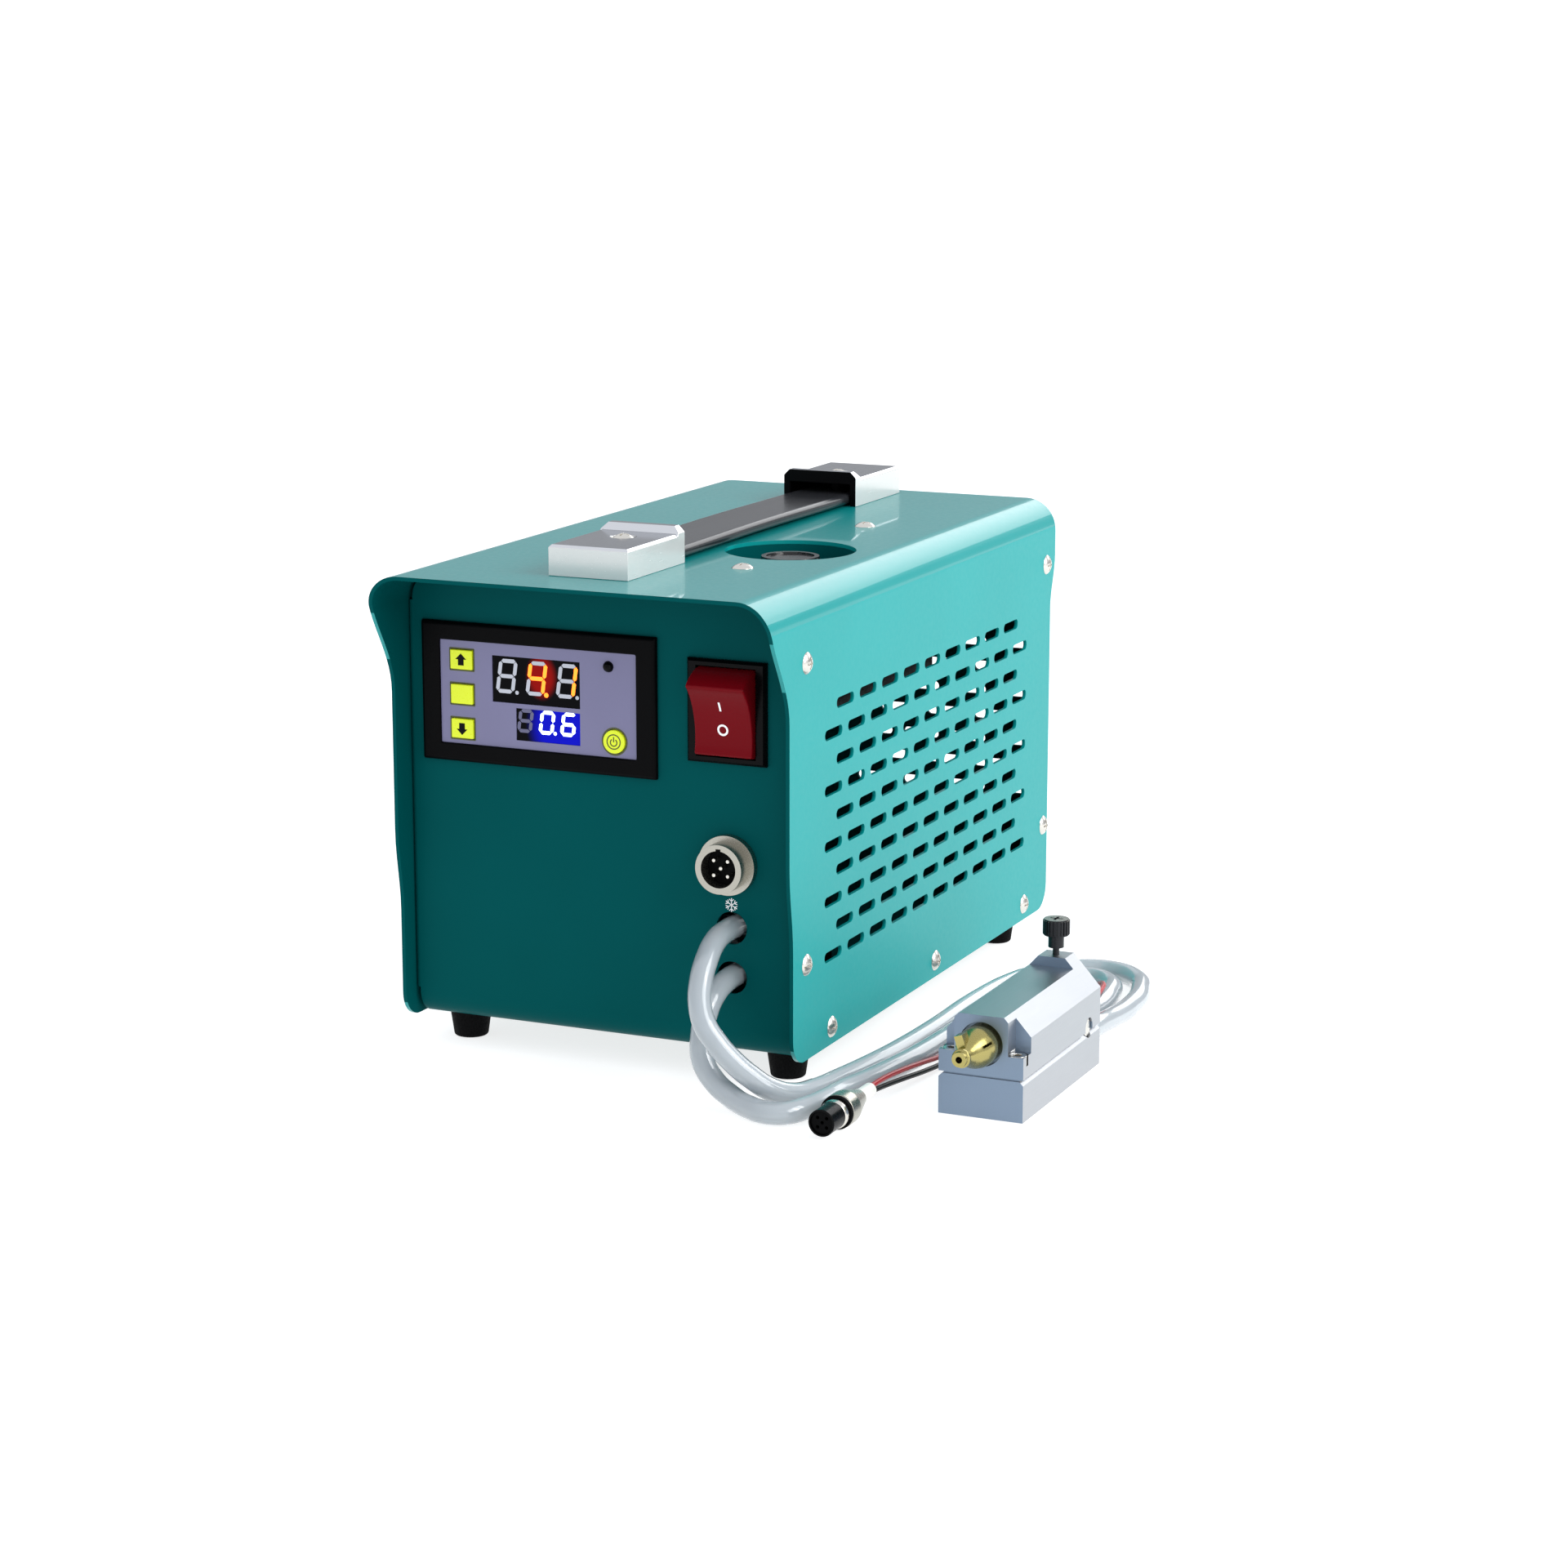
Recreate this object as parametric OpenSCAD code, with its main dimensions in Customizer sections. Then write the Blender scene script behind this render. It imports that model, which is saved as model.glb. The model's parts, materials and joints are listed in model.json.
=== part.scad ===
// Bench glue dispenser: a sheet-metal cooling unit with a thermostat, a water circuit
// and a carrying handle, joined by two hoses and a wired lead to a small cooled
// dispensing head that lies beside it.
// Lengths are in millimetres. The front panel faces -Y and everything stands on z = 0.

/* [Housing] */
// Outside width of the cover
body_w = 132; // [130:0.5:145]
// Height of the cover above the feet
body_h = 141.3; // [140:0.5:155]
// Depth from the front panel to the rear panel
body_d = 209.3; // [206:0.5:235]
// Thickness of the cover and chassis sheet
sheet_t = 1.2; // [1:0.1:1.6]
// Outside radius of the cover's top corners
corner_r = 10.5; // [6:0.5:14]
// How far the hood over the front panel reaches out at the top
hood_front = 22.4; // [14:0.2:30]
// How far the cover's front lip stands out beside the panel
lip_front = 8.4; // [6.5:0.2:12]
// How far the lip stands out near the bottom
chin_front = 5.8; // [3:0.2:6.4]
// How far the small hood reaches out at the rear
hood_rear = 4.1; // [2:0.1:8]
// Corner radius of the cover's lower corners, seen from the side
side_corner_r = 8.2; // [5:0.2:12]
// Outside bend radius of the chassis at the bottom front and rear
bend_r = 8; // [5:0.5:10]

/* [Vents] */
// Length of one ventilation slot
slot_l = 13; // [9:0.5:15]
// Width of one ventilation slot
slot_w = 3.2; // [2:0.1:4]
// Distance between slots in a row
slot_pitch = 17.38; // [16.5:0.02:19]
// Distance between rows of slots
row_pitch = 8.49; // [7:0.01:8.8]
// Rows of slots on each side
slot_rows = 10; // [6:1:10]

/* [Feet and screws] */
// Height of the rubber feet
foot_h = 9.4; // [7:0.2:14]
// Radius of a foot where it meets the base
foot_r = 6.65; // [5.5:0.05:8]
// Distance of the feet from the cover's sides
foot_inset = 11.5; // [10:0.5:18]
// Head radius of the cover screws
screw_head_r = 3.4; // [3:0.1:3.6]
// Shank radius of the cover screws
screw_r = 1.5; // [1.2:0.1:1.6]

/* [Handle] */
// Width of the handle's end caps
cap_w = 26.4; // [25:0.2:30]
// Length of an end cap
cap_l = 38.5; // [34:0.5:42]
// Height of an end cap over its flat top
cap_h = 9.4; // [8.6:0.2:12]
// Width of the strap
strap_w = 21.2; // [17:0.2:21.4]
// Thickness of the strap
strap_t = 3.6; // [3:0.1:4]

/* [Filler and tank] */
// Inside radius of the filler well
well_r = 20.5; // [17:0.5:22]
// Depth of the filler well's floor below the top of the cover
well_depth = 12; // [11:0.2:13]
// Radius of the tank cap
tank_cap_r = 9.5; // [9:0.1:11]
// Length of the water tank
tank_l = 88; // [70:1:88]
// Width of the water tank
tank_w = 54; // [44:1:58]
// Height of the water tank
tank_h = 29; // [22:0.5:31]

/* [Thermostat and switch] */
// Width of the thermostat's front frame
ctl_w = 79.2; // [77:0.2:82]
// Height of the thermostat's front frame
ctl_h = 43; // [42:0.2:46]
// Depth of the thermostat's case behind the panel
ctl_depth = 27; // [20:0.5:34]
// Width of a square key
key_w = 7.5; // [6:0.1:7.6]
// Height of a square key
key_h = 6; // [5:0.1:6.4]
// Travel of a key
key_travel = 0.4; // [0.2:0.05:0.5]
// Width of the rocker switch's frame
switch_w = 25.5; // [25:0.1:28]
// Height of the rocker switch's frame
switch_h = 31; // [29.5:0.1:34]
// Full swing of the rocker in degrees
rocker_swing = 32; // [24:1:34]

/* [Connections] */
// Radius of the round socket
socket_r = 7.45; // [6.8:0.05:8]
// Outside diameter of the water hoses
hose_d = 7; // [6:0.2:7.6]
// Outside diameter of each wire of the lead
wire_d = 1.6; // [1.4:0.1:2.2]

/* [Head] */
// Width of the dispensing head
head_w = 26.3; // [25:0.1:30]
// Length of the head's lower block
head_l = 66.5; // [62:0.5:76]
// Height of the head's upper block above the floor
head_h = 31; // [30:0.2:33]
// Height of the seam between the two blocks
seam_z = 12.9; // [12.4:0.1:14]
// Radius of the bore that takes the glue barrel
barrel_r = 5; // [3.5:0.1:5.4]
// Height of the end plate above the floor
plate_h = 34; // [33.4:0.2:37]
// Reach of the brass nozzle in front of the head
nozzle_l = 17.5; // [16:0.5:24]
// Radius of the bore in the nozzle's tip
nozzle_bore_r = 1; // [0.6:0.1:1.4]

/* [Hidden] */
$fn = 48;
cut = 1;
fit_gap = 0.1;
run_gap = 0.06;
thread_gap = 0.05;

// Heights and planes of the housing
base_z = foot_h;
top_z = base_z + body_h;
floor_z = base_z + sheet_t;
roof_z = top_z - sheet_t;
inner_x = body_w / 2 - sheet_t;
edge_bend_r = 1.8;
panel_w = 2 * (inner_x - edge_bend_r);
panel_top = roof_z - 1.6;
panel_corner_r = 7;
rear_y = body_d;

// The cover's side outline: the hood, the lip beside the panel and the chin
hood_curve_top = top_z - 1.7;
hood_curve_low = top_z - 37.7;
chin_curve_top = base_z + 60.6;
chin_curve_low = base_z + 34.6;
rear_curve_top = top_z - 18.7;
rear_curve_low = top_z - 36.7;
function ease(t) = (1 - cos(180 * t)) / 2;
function blend_line(y0, z0, y1, z1, n) =
    [for (i = [0:n]) [y0 + (y1 - y0) * ease(i / n), z0 + (z1 - z0) * i / n]];
function arc_points(cy, cz, r, a0, a1, n) =
    [for (i = [0:n]) let (a = a0 + (a1 - a0) * i / n) [cy + r * cos(a), cz + r * sin(a)]];
side_outline = concat(
    arc_points(side_corner_r - chin_front, base_z + side_corner_r, side_corner_r, 270, 180, 8),
    blend_line(-chin_front, chin_curve_low, -lip_front, chin_curve_top, 6),
    blend_line(-lip_front, hood_curve_low, -hood_front, hood_curve_top, 14),
    [[-hood_front, top_z + cut], [rear_y + hood_rear, top_z + cut]],
    blend_line(rear_y + hood_rear, rear_curve_top, rear_y, rear_curve_low, 8),
    arc_points(rear_y - side_corner_r, base_z + side_corner_r, side_corner_r, 0, -90, 8));

// Vent slots: rows are staggered by half a pitch
slot_first_y = 23.7;
slot_top_z = top_z - 37.1;
slot_half = slot_pitch / 2;
slots_wide = 10;

// Screws through the cover into the chassis flanges: places along Y and Z
screw_inset = 4;
screw_high_z = base_z + 120;
screw_low_z = base_z + 29.3;
screw_base_z = base_z + 5.4;
side_screws = [[screw_inset, screw_high_z], [screw_inset, screw_low_z],
               [rear_y - screw_inset, screw_high_z], [rear_y - screw_inset, screw_low_z],
               [22.8, screw_base_z], [rear_y / 2 + 2, screw_base_z],
               [rear_y - 21.9, screw_base_z]];
screw_l = 6;
screw_dome = 1.5;
flange_reach = 11;
flange_x = inner_x - sheet_t;

// Feet
foot_tip_r = foot_r - 1.35;
foot_x = body_w / 2 - foot_inset;
foot_front_y = 16.4;
foot_rear_y = rear_y - 18.5;
foot_places = [for (x = [-foot_x, foot_x], y = [foot_front_y, foot_rear_y]) [x, y]];

// Handle on the cover's top, a little left of the middle
handle_x = -1.9;
cap_front_y = -2.3;
cap_rear_y = rear_y - 2.8;
cap_wall = 2;
cap_ridge_l = 3;
cap_ridge_h = 2.2;
cap_screw_in = 23.3;
cap_boss_r = 3.2;
bolt_r = 2;
bolt_head_r = 3.7;
strap_gap = 0.6;
strap_z = top_z + strap_gap;
strap_end_in = 6;
strap_bow = 0.4;

// Filler well and water tank
tank_x = body_w * 0.23636;
well_x = tank_x - 1.4;
well_y = 73;
well_z = top_z - well_depth;
neck_r = 8;
neck_bore_r = 6.4;
neck_top = top_z - 5.7;
gasket_t = 1.2;
tank_cap_top = top_z - 1.7;
tank_front_y = 38;
tank_top = well_z - sheet_t - 0.3;
tank_wall = 2.4;
ear_reach = 8.4;
ear_screw_in = 3.2;
ear_places = [tank_front_y - ear_screw_in, tank_front_y + tank_l + ear_screw_in - 0.1];

// Front panel layout
ctl_x = -body_w * 0.15076;
ctl_z = top_z - 37.75;
ctl_proud = 2;
ctl_case_w = 70.6;
ctl_case_h = 38.6;
face_w = 66.2;
face_h = 31.8;
face_y = -1.2;
face_t = 1.4;
board_y = 3;
board_t = 1.6;
key_proud = 0.7;
key_gap = 0.2;
key_x = ctl_x - 25.65;
key_z = ctl_z - 0.55;
key_step = 10.6;
round_key_x = ctl_x + 25.7;
round_key_z = ctl_z - 10.9;
round_key_r = 3.6;
led_x = ctl_x + 23.8;
led_z = ctl_z + 11.6;
led_r = 1.6;
upper_digits = [ctl_x - 0.55, ctl_z + 5.05, 29.5, 14.1];
lower_digits = [ctl_x + 3.4, ctl_z - 8.35, 21.5, 9.75];
panel_gap = 0.4;

switch_x = body_w * 0.32273;
switch_z = top_z - 36.8;
switch_proud = 2;
switch_body_w = 22;
switch_body_h = 28;
switch_depth = 28;
rocker_w = 18.6;
rocker_r = 13.25;
rocker_room = 0.3;
rocker_y = -0.2;
rocker_rest = rocker_swing / 2;
axle_r = 1;
switch_cut_w = rocker_w + 0.8;
tab_w = 6.3;
tab_t = 0.8;
tab_l = 7;

// Round socket and the two hose openings under it
socket_x = switch_x + 0.2;
socket_z = base_z + 58.6;
socket_mouth = 8;
socket_back = 10;
socket_wall = 1.85;
hose_x = switch_x + 0.8;
supply_z = base_z + 39.1;
return_z = base_z + 23.9;
hose_hole_r = 5;
pin_r = 0.6;
pin_ring_r = 3.2;

// Pump on the base behind the hose openings
pump_x = tank_x - 3.2;
pump_y = 55;
can_r = 16;
can_top = supply_z - 6;
pump_plate_t = 2.4;
volute_r = 20;
volute_h = 12;
volute_cavity_r = 17;
spigot_r = 3;
inlet_top = can_top + volute_h + 10;
shaft_r = 1;

// Radiator beside the left wall with its fan
rad_x = 4 - body_w / 2;
rad_t = 22;
header_w = 8;
fan_size = 80;
rad_mid_y = rear_y - 84.3;
rad_front_y = rad_mid_y - fan_size / 2 - header_w;
rad_z = base_z + 46.6;
stand_t = 1.2;
fan_t = 15;
fan_x = rad_x + rad_t;
fan_y = rad_front_y + header_w + fan_size / 2;
fan_z = rad_z + fan_size / 2;
fan_bore_r = fan_size / 2 - 2;
fan_hub_r = 15;
fan_hole_in = 4.25;
blade_count = 7;

// Power supply on the base under the radiator
psu_x = 6.8 - body_w / 2;
psu_w = 58;
psu_h = 30;
psu_front_y = rad_front_y + 1;
psu_l = fan_size + 2 * header_w - 2;
standoff_h = 4;
psu_z = floor_z + standoff_h;
inlet_x = psu_x + 24.2;
inlet_z = base_z + 20.6;
inlet_w = 27;
inlet_h = 20;
inlet_depth = 19;

// Dispensing head beside the unit
head_x = body_w / 2 + 56.95;
head_edge_z = head_h - 6.8;
head_edge_in = 6.1;
block_l = head_l - 7.8;
bore_z = 22.3;
nozzle_seat_r = 6.7;
nozzle_seat_l = 3;
lower_edge = 1.7;
notch_y = 6.3;
notch_x = 4.8;
notch_z = 19.5;
cap_head_r = 2.75;
cap_pocket_r = 3.1;
cap_screw_r = 1.5;
plate_screw_x = 8.2;
plate_screw_z = seam_z + 4;
thumb_y = head_l - 3.9;
thumb_r = 1;
thumb_gap = 2.3;
pad_r = 1.5;
pad_l = 2;
cell_w = 20;
cell_l = 40;
cell_t = 3;
barb_step = 6;
barb_z = 6.5;
barb_r = 4.4;
barb_l = 3;
water_r = 2.2;
side_pin_y = head_l - 9.9;

// Plug on the lead, lying on the floor
plug_x = body_w / 2 + 23.3;
plug_tip_y = -38.4;
plug_r = 5.15;
plug_z = plug_r;
nose_r = 4.05;
nose_l = 10.5;
plug_ring_l = 1.6;
plug_shell_l = 5.7;
plug_taper_l = 9.3;
boot_r = 2.2;
boot_l = 9;

// Hose and wire routes: through the panel, down to the floor, along the head and round
// behind it to its rear end. The runs count X from the cover's right side.
hose_start_y = 6;
boot_end_y = plug_tip_y + nose_l + plug_ring_l + plug_shell_l + plug_taper_l + boot_l;
wire_z = 11.7;
wire_step = 1.1;
wire_low = wire_d / 2 + 0.15;
function beside(points) = [for (p = points) [body_w / 2 + p[0], p[1], p[2]]];
supply_run = [
    [-22.2, -12, 47.6], [-21.5, -19.5, 44], [-20.8, -25, 38.8], [-19.8, -28, 32.8], [-17.8, -29, 27.2],
    [-14.2, -28.8, 22], [-10, -27.6, 17], [-5.2, -25, 11.9], [-0.7, -21.4, 7.6], [3.8, -14.8, 4.6],
    [6.8, -5, 3.7], [9.4, 8, 3.7], [11.6, 22, 3.7], [13.6, 40, 3.7], [14.9, 66, 3.7], [15.2, 104, 3.7],
    [17.5, 126, 3.7], [22.5, 142, 3.7], [31, 152.5, 3.7], [43, 156, 3.7], [54, 149, 3.7],
    [60, 135, 3.7], [62.4, 117, 3.7], [62.9, 98, 5]];
return_run = [
    [-23, -11, 31], [-23.1, -16.5, 26.8], [-23, -20, 20.5], [-21.6, -22.4, 14], [-17.4, -23.6, 8.6],
    [-11.2, -25.4, 5.2], [-4, -28.8, 3.8], [2.8, -31.2, 3.7], [8, -29.4, 3.7], [11.6, -22.6, 3.7],
    [13.6, -12.6, 3.7], [14.6, -3, 3.7], [17, 8, 3.7], [19.2, 22, 3.7], [21.2, 40, 3.7],
    [22.4, 66, 3.7], [23, 104, 3.7], [25, 123, 3.7], [29.5, 136.5, 3.7], [39, 145.5, 3.7],
    [47.5, 140.5, 3.7], [52, 127, 3.7], [53, 109, 3.7], [51.7, 94, 5]];
red_run = [
    [23.6, 6, 6], [24.3, 18, 5.3], [25.3, 31, 4.1], [26.3, 45, 2.6], [27, 62, 1.4], [28, 97, wire_low],
    [30.6, 114, wire_low], [37, 125, 2], [45.4, 128, 5.6], [52, 120.5, 9.6], [56.2, 106, 11]];
black_run = [
    [23.9, 6, 3.8], [25.4, 18, 3], [27.1, 31, 2], [28.5, 45, 1.3], [29.3, 62, wire_low],
    [30.3, 96.6, wire_low], [32.8, 112, wire_low], [38.2, 121.6, 2], [44.8, 124.2, 5.6],
    [49.8, 117.6, 9.6], [53.4, 105, 11]];
supply_route = concat([[hose_x, hose_start_y, supply_z], [hose_x, -4, supply_z]], beside(supply_run),
    [[head_x + barb_step, 81, barb_z], [head_x + barb_step, head_l + barb_l, barb_z]]);
return_route = concat([[hose_x, hose_start_y, return_z], [hose_x, -4, return_z]], beside(return_run),
    [[head_x - barb_step, 80, barb_z], [head_x - barb_step, head_l + barb_l, barb_z]]);
red_route = concat([[plug_x, boot_end_y + 0.05, plug_z + wire_d / 2 + 0.01]], beside(red_run),
    [[head_x + wire_step, 88, wire_z], [head_x + wire_step, head_l + 0.1, wire_z]]);
black_route = concat([[plug_x, boot_end_y + 0.05, plug_z - wire_d / 2 - 0.01]], beside(black_run),
    [[head_x - wire_step, 88, wire_z], [head_x - wire_step, head_l + 0.1, wire_z]]);

// The origin is under the middle of the unit and head together
min_x = -body_w / 2 - screw_dome;
max_x = head_x + head_w / 2;
shift_x = (min_x + max_x) / 2;
shift_y = (rear_y + hood_rear - hood_front) / 2;

module place() {
    translate([-shift_x, -shift_y, 0]) children();
}

// An outline in X and Z, drawn flat and stood up, running from y0 to y1
module along_y(y0, y1) {
    translate([0, y1, 0]) rotate([90, 0, 0]) linear_extrude(y1 - y0) children();
}

// An outline in Y and Z, running from x0 to x1
module along_x(x0, x1) {
    translate([x0, 0, 0]) rotate([90, 0, 90]) linear_extrude(x1 - x0) children();
}

module rod_y(x, z, r, y0, y1) {
    translate([x, y0, z]) rotate([-90, 0, 0]) cylinder(r = r, h = y1 - y0);
}

module rod_x(y, z, r, x0, x1) {
    translate([x0, y, z]) rotate([0, 90, 0]) cylinder(r = r, h = x1 - x0);
}

module box(x0, x1, y0, y1, z0, z1) {
    translate([x0, y0, z0]) cube([x1 - x0, y1 - y0, z1 - z0]);
}

module box_at(x, z, w, h, y0, y1) {
    box(x - w / 2, x + w / 2, y0, y1, z - h / 2, z + h / 2);
}

module round_rect(w, h, r) {
    square([w - 2 * r, h], center = true);
    square([w, h - 2 * r], center = true);
    for (x = [r - w / 2, w / 2 - r], y = [r - h / 2, h / 2 - r]) {
        translate([x, y]) circle(r);
    }
}

// An arch: flat at the bottom, both top corners round
module arch(w, h, r) {
    translate([-w / 2, 0]) square([w, h - r]);
    translate([r - w / 2, 0]) square([w - 2 * r, h]);
    for (x = [r - w / 2, w / 2 - r]) {
        translate([x, h - r]) circle(r);
    }
}

module slot_outline(l, w) {
    square([l - w, w], center = true);
    for (x = [(w - l) / 2, (l - w) / 2]) {
        translate([x, 0]) circle(w / 2, $fn = 20);
    }
}

// A block of w by h that is d deep along +Y, with its front edges chamfered by c
module faced_block(w, h, d, c) {
    intersection() {
        translate([0, 0, -h / 2]) linear_extrude(h)
            polygon([[c - w / 2, 0], [w / 2 - c, 0], [w / 2, c], [w / 2, d], [-w / 2, d], [-w / 2, c]]);
        along_x(-w / 2, w / 2)
            polygon([[0, c - h / 2], [0, h / 2 - c], [c, h / 2], [d, h / 2], [d, -h / 2], [c, -h / 2]]);
    }
}

// A domed cross-recess screw whose head stands up along +Z from z = 0
module dome_screw(head_r, dome, shank_r, length) {
    ball_r = (head_r * head_r + dome * dome) / (2 * dome);
    recess = 0.8;
    difference() {
        union() {
            intersection() {
                translate([0, 0, dome - ball_r]) sphere(ball_r);
                cylinder(r = head_r, h = dome);
            }
            translate([0, 0, -length]) cylinder(r = shank_r, h = length + 0.2);
        }
        for (a = [0, 90]) {
            rotate([0, 0, a]) translate([-head_r * 0.55, -0.3, dome - recess])
                cube([head_r * 1.1, 0.6, recess + cut]);
        }
    }
}

// A socket-head screw whose head stands up along +Z from z = 0
module socket_screw(head_r, head_h, shank_r, length) {
    difference() {
        union() {
            cylinder(r = head_r, h = head_h);
            translate([0, 0, -length]) cylinder(r = shank_r, h = length + 0.2);
        }
        translate([0, 0, head_h * 0.4]) cylinder(r = head_r * 0.5, h = head_h, $fn = 6);
    }
}

// A tube swept along a route, ring by ring, with a frame carried along without twist
function unit(v) = v / norm(v);
function tangent(r, i) = unit(r[min(i + 1, len(r) - 1)] - r[max(i - 1, 0)]);
function carried(r, start, i) =
    let (t = tangent(r, i), from = i == 0 ? start : carried(r, start, i - 1))
    unit(from - (from * t) * t);
module tube(route, d, sides) {
    start = [0, 0, 1];
    rings = len(route);
    points = [for (i = [0:rings - 1])
        let (t = tangent(route, i), u = carried(route, start, i), w = cross(t, u))
        for (k = [0:sides - 1]) route[i] + d / 2 * (cos(360 * k / sides) * u + sin(360 * k / sides) * w)];
    walls = [for (i = [0:rings - 2], k = [0:sides - 1])
        let (a = i * sides + k, b = i * sides + (k + 1) % sides)
        each [[a, a + sides, b + sides], [a, b + sides, b]]];
    last = (rings - 1) * sides;
    ends = [[for (k = [0:sides - 1]) k], [for (k = [sides - 1:-1:0]) last + k]];
    polyhedron(points, concat(walls, ends));
}

module side_slots() {
    for (r = [0:slot_rows - 1], k = [0:slots_wide - 1]) {
        odd = r % 2;
        if (odd == 1 || k < slots_wide - 1) {
            translate([slot_first_y + k * slot_pitch + (1 - odd) * slot_half, slot_top_z - r * row_pitch])
                slot_outline(slot_l, slot_w);
        }
    }
}

module cover_shell() {
    color("#4FBDB6") difference() {
        intersection() {
            translate([0, 0, base_z]) along_y(-hood_front - cut, rear_y + hood_rear + cut) difference() {
                arch(body_w, body_h, corner_r);
                translate([0, -cut]) arch(body_w - 2 * sheet_t, body_h - sheet_t + cut, corner_r - sheet_t);
            }
            along_x(-body_w / 2 - cut, body_w / 2 + cut) polygon(side_outline);
        }
        along_x(-body_w / 2 - cut, body_w / 2 + cut) side_slots();
        for (p = side_screws) {
            rod_x(p[0], p[1], screw_r + 0.2, -body_w / 2 - cut, body_w / 2 + cut);
        }
        translate([well_x, well_y, roof_z - cut]) cylinder(r = well_r, h = sheet_t + 2 * cut, $fn = 96);
        for (y = ear_places) {
            translate([tank_x, y, roof_z - cut]) cylinder(r = screw_r + 0.2, h = sheet_t + 2 * cut);
        }
        for (y = [cap_front_y + cap_screw_in, cap_rear_y - cap_screw_in]) {
            translate([handle_x, y, roof_z - cut]) cylinder(r = bolt_r + 0.2, h = sheet_t + 2 * cut);
        }
    }
}

module u_outline(inset) {
    w = rear_y - 2 * inset;
    r = bend_r - inset;
    translate([rear_y / 2, base_z + inset]) {
        translate([0, r + (top_z - r) / 2]) square([w, top_z - r], center = true);
        translate([0, r]) square([w - 2 * r, 2 * r], center = true);
        for (y = [r - w / 2, w / 2 - r]) {
            translate([y, r]) circle(r);
        }
    }
}

module quarter_bend() {
    joint = 0.3;
    translate([-joint, -edge_bend_r]) square([joint + 0.01, sheet_t]);
    translate([edge_bend_r - sheet_t, -0.01]) square([sheet_t, joint + 0.01]);
    intersection() {
        difference() {
            circle(edge_bend_r, $fn = 32);
            circle(edge_bend_r - sheet_t, $fn = 32);
        }
        translate([0, -edge_bend_r]) square(edge_bend_r);
    }
}

// One side's flanges, drawn for +X
module side_flanges() {
    low = base_z + bend_r + 1;
    high = panel_top - panel_corner_r - 1;
    bent_x = panel_w / 2;
    difference() {
        union() {
            box(flange_x, inner_x, edge_bend_r, edge_bend_r + flange_reach, low, high);
            box(flange_x, inner_x, rear_y - edge_bend_r - flange_reach, rear_y - edge_bend_r, low, high);
            box(flange_x, inner_x, bend_r + 1, rear_y - bend_r - 1, base_z + edge_bend_r, low + 2.5);
            translate([bent_x, edge_bend_r, low]) linear_extrude(high - low) quarter_bend();
            translate([bent_x, rear_y - edge_bend_r, low]) linear_extrude(high - low)
                mirror([0, 1]) quarter_bend();
            translate([bent_x, 0, base_z + edge_bend_r]) along_y(bend_r + 1, rear_y - bend_r - 1)
                quarter_bend();
        }
        for (p = side_screws) {
            rod_x(p[0], p[1], screw_r + thread_gap, flange_x - cut, inner_x + cut);
        }
    }
}

rear_slot_x = 2;
rear_slot_rows = 8;
module rear_slots() {
    for (r = [0:rear_slot_rows - 1], k = [0:3]) {
        if (k < 3 || r % 2 == 1) {
            translate([rear_slot_x + k * slot_pitch + (1 - r % 2) * slot_half, base_z + 100 - r * row_pitch])
                slot_outline(slot_l, slot_w);
        }
    }
}

module chassis() {
    color("#06504F") difference() {
        union() {
            intersection() {
                along_x(-panel_w / 2, panel_w / 2) difference() {
                    u_outline(0);
                    u_outline(sheet_t);
                }
                translate([0, 0, base_z]) along_y(-cut, rear_y + cut)
                    arch(panel_w, panel_top - base_z, panel_corner_r);
            }
            side_flanges();
            mirror([1, 0, 0]) side_flanges();
        }
        box_at(ctl_x, ctl_z, ctl_case_w + panel_gap, ctl_case_h + panel_gap, -cut, sheet_t + cut);
        box_at(switch_x, switch_z, switch_body_w + panel_gap, switch_body_h + panel_gap, -cut, sheet_t + cut);
        rod_y(socket_x, socket_z, socket_r + fit_gap, -cut, sheet_t + cut);
        for (z = [supply_z, return_z]) {
            rod_y(hose_x, z, hose_hole_r, -cut, sheet_t + cut);
        }
        box_at(inlet_x, inlet_z, inlet_w + panel_gap, inlet_h + panel_gap, rear_y - sheet_t - cut,
               rear_y + cut);
        along_y(rear_y - sheet_t - cut, rear_y + cut) rear_slots();
        for (p = foot_places) {
            translate([p[0], p[1], base_z - cut]) cylinder(r = screw_r + thread_gap, h = sheet_t + 2 * cut);
        }
    }
}

module cover_screws() {
    color("#D9D6D2") {
        for (p = side_screws) {
            translate([body_w / 2, p[0], p[1]]) rotate([0, 90, 0])
                dome_screw(screw_head_r, screw_dome, screw_r, screw_l);
            translate([-body_w / 2, p[0], p[1]]) rotate([0, -90, 0])
                dome_screw(screw_head_r, screw_dome, screw_r, screw_l);
        }
        for (y = ear_places) {
            translate([tank_x, y, top_z]) dome_screw(screw_head_r, screw_dome, screw_r, screw_l);
        }
    }
}

foot_recess_r = 3.2;
foot_recess = 5;
foot_head_r = 2.7;
module rubber_feet() {
    color("#1B1B1D") for (p = foot_places) {
        translate([p[0], p[1], 0]) difference() {
            cylinder(r1 = foot_tip_r, r2 = foot_r, h = foot_h);
            translate([0, 0, -cut]) cylinder(r = foot_recess_r, h = foot_recess + cut);
            cylinder(r = screw_r + 0.2, h = foot_h + cut);
        }
    }
}

module foot_screws() {
    color("#B9B9BB") for (p = foot_places) {
        translate([p[0], p[1], foot_recess]) rotate([180, 0, 0])
            dome_screw(foot_head_r, screw_dome, screw_r, foot_h - foot_recess + 5);
    }
}

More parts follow.
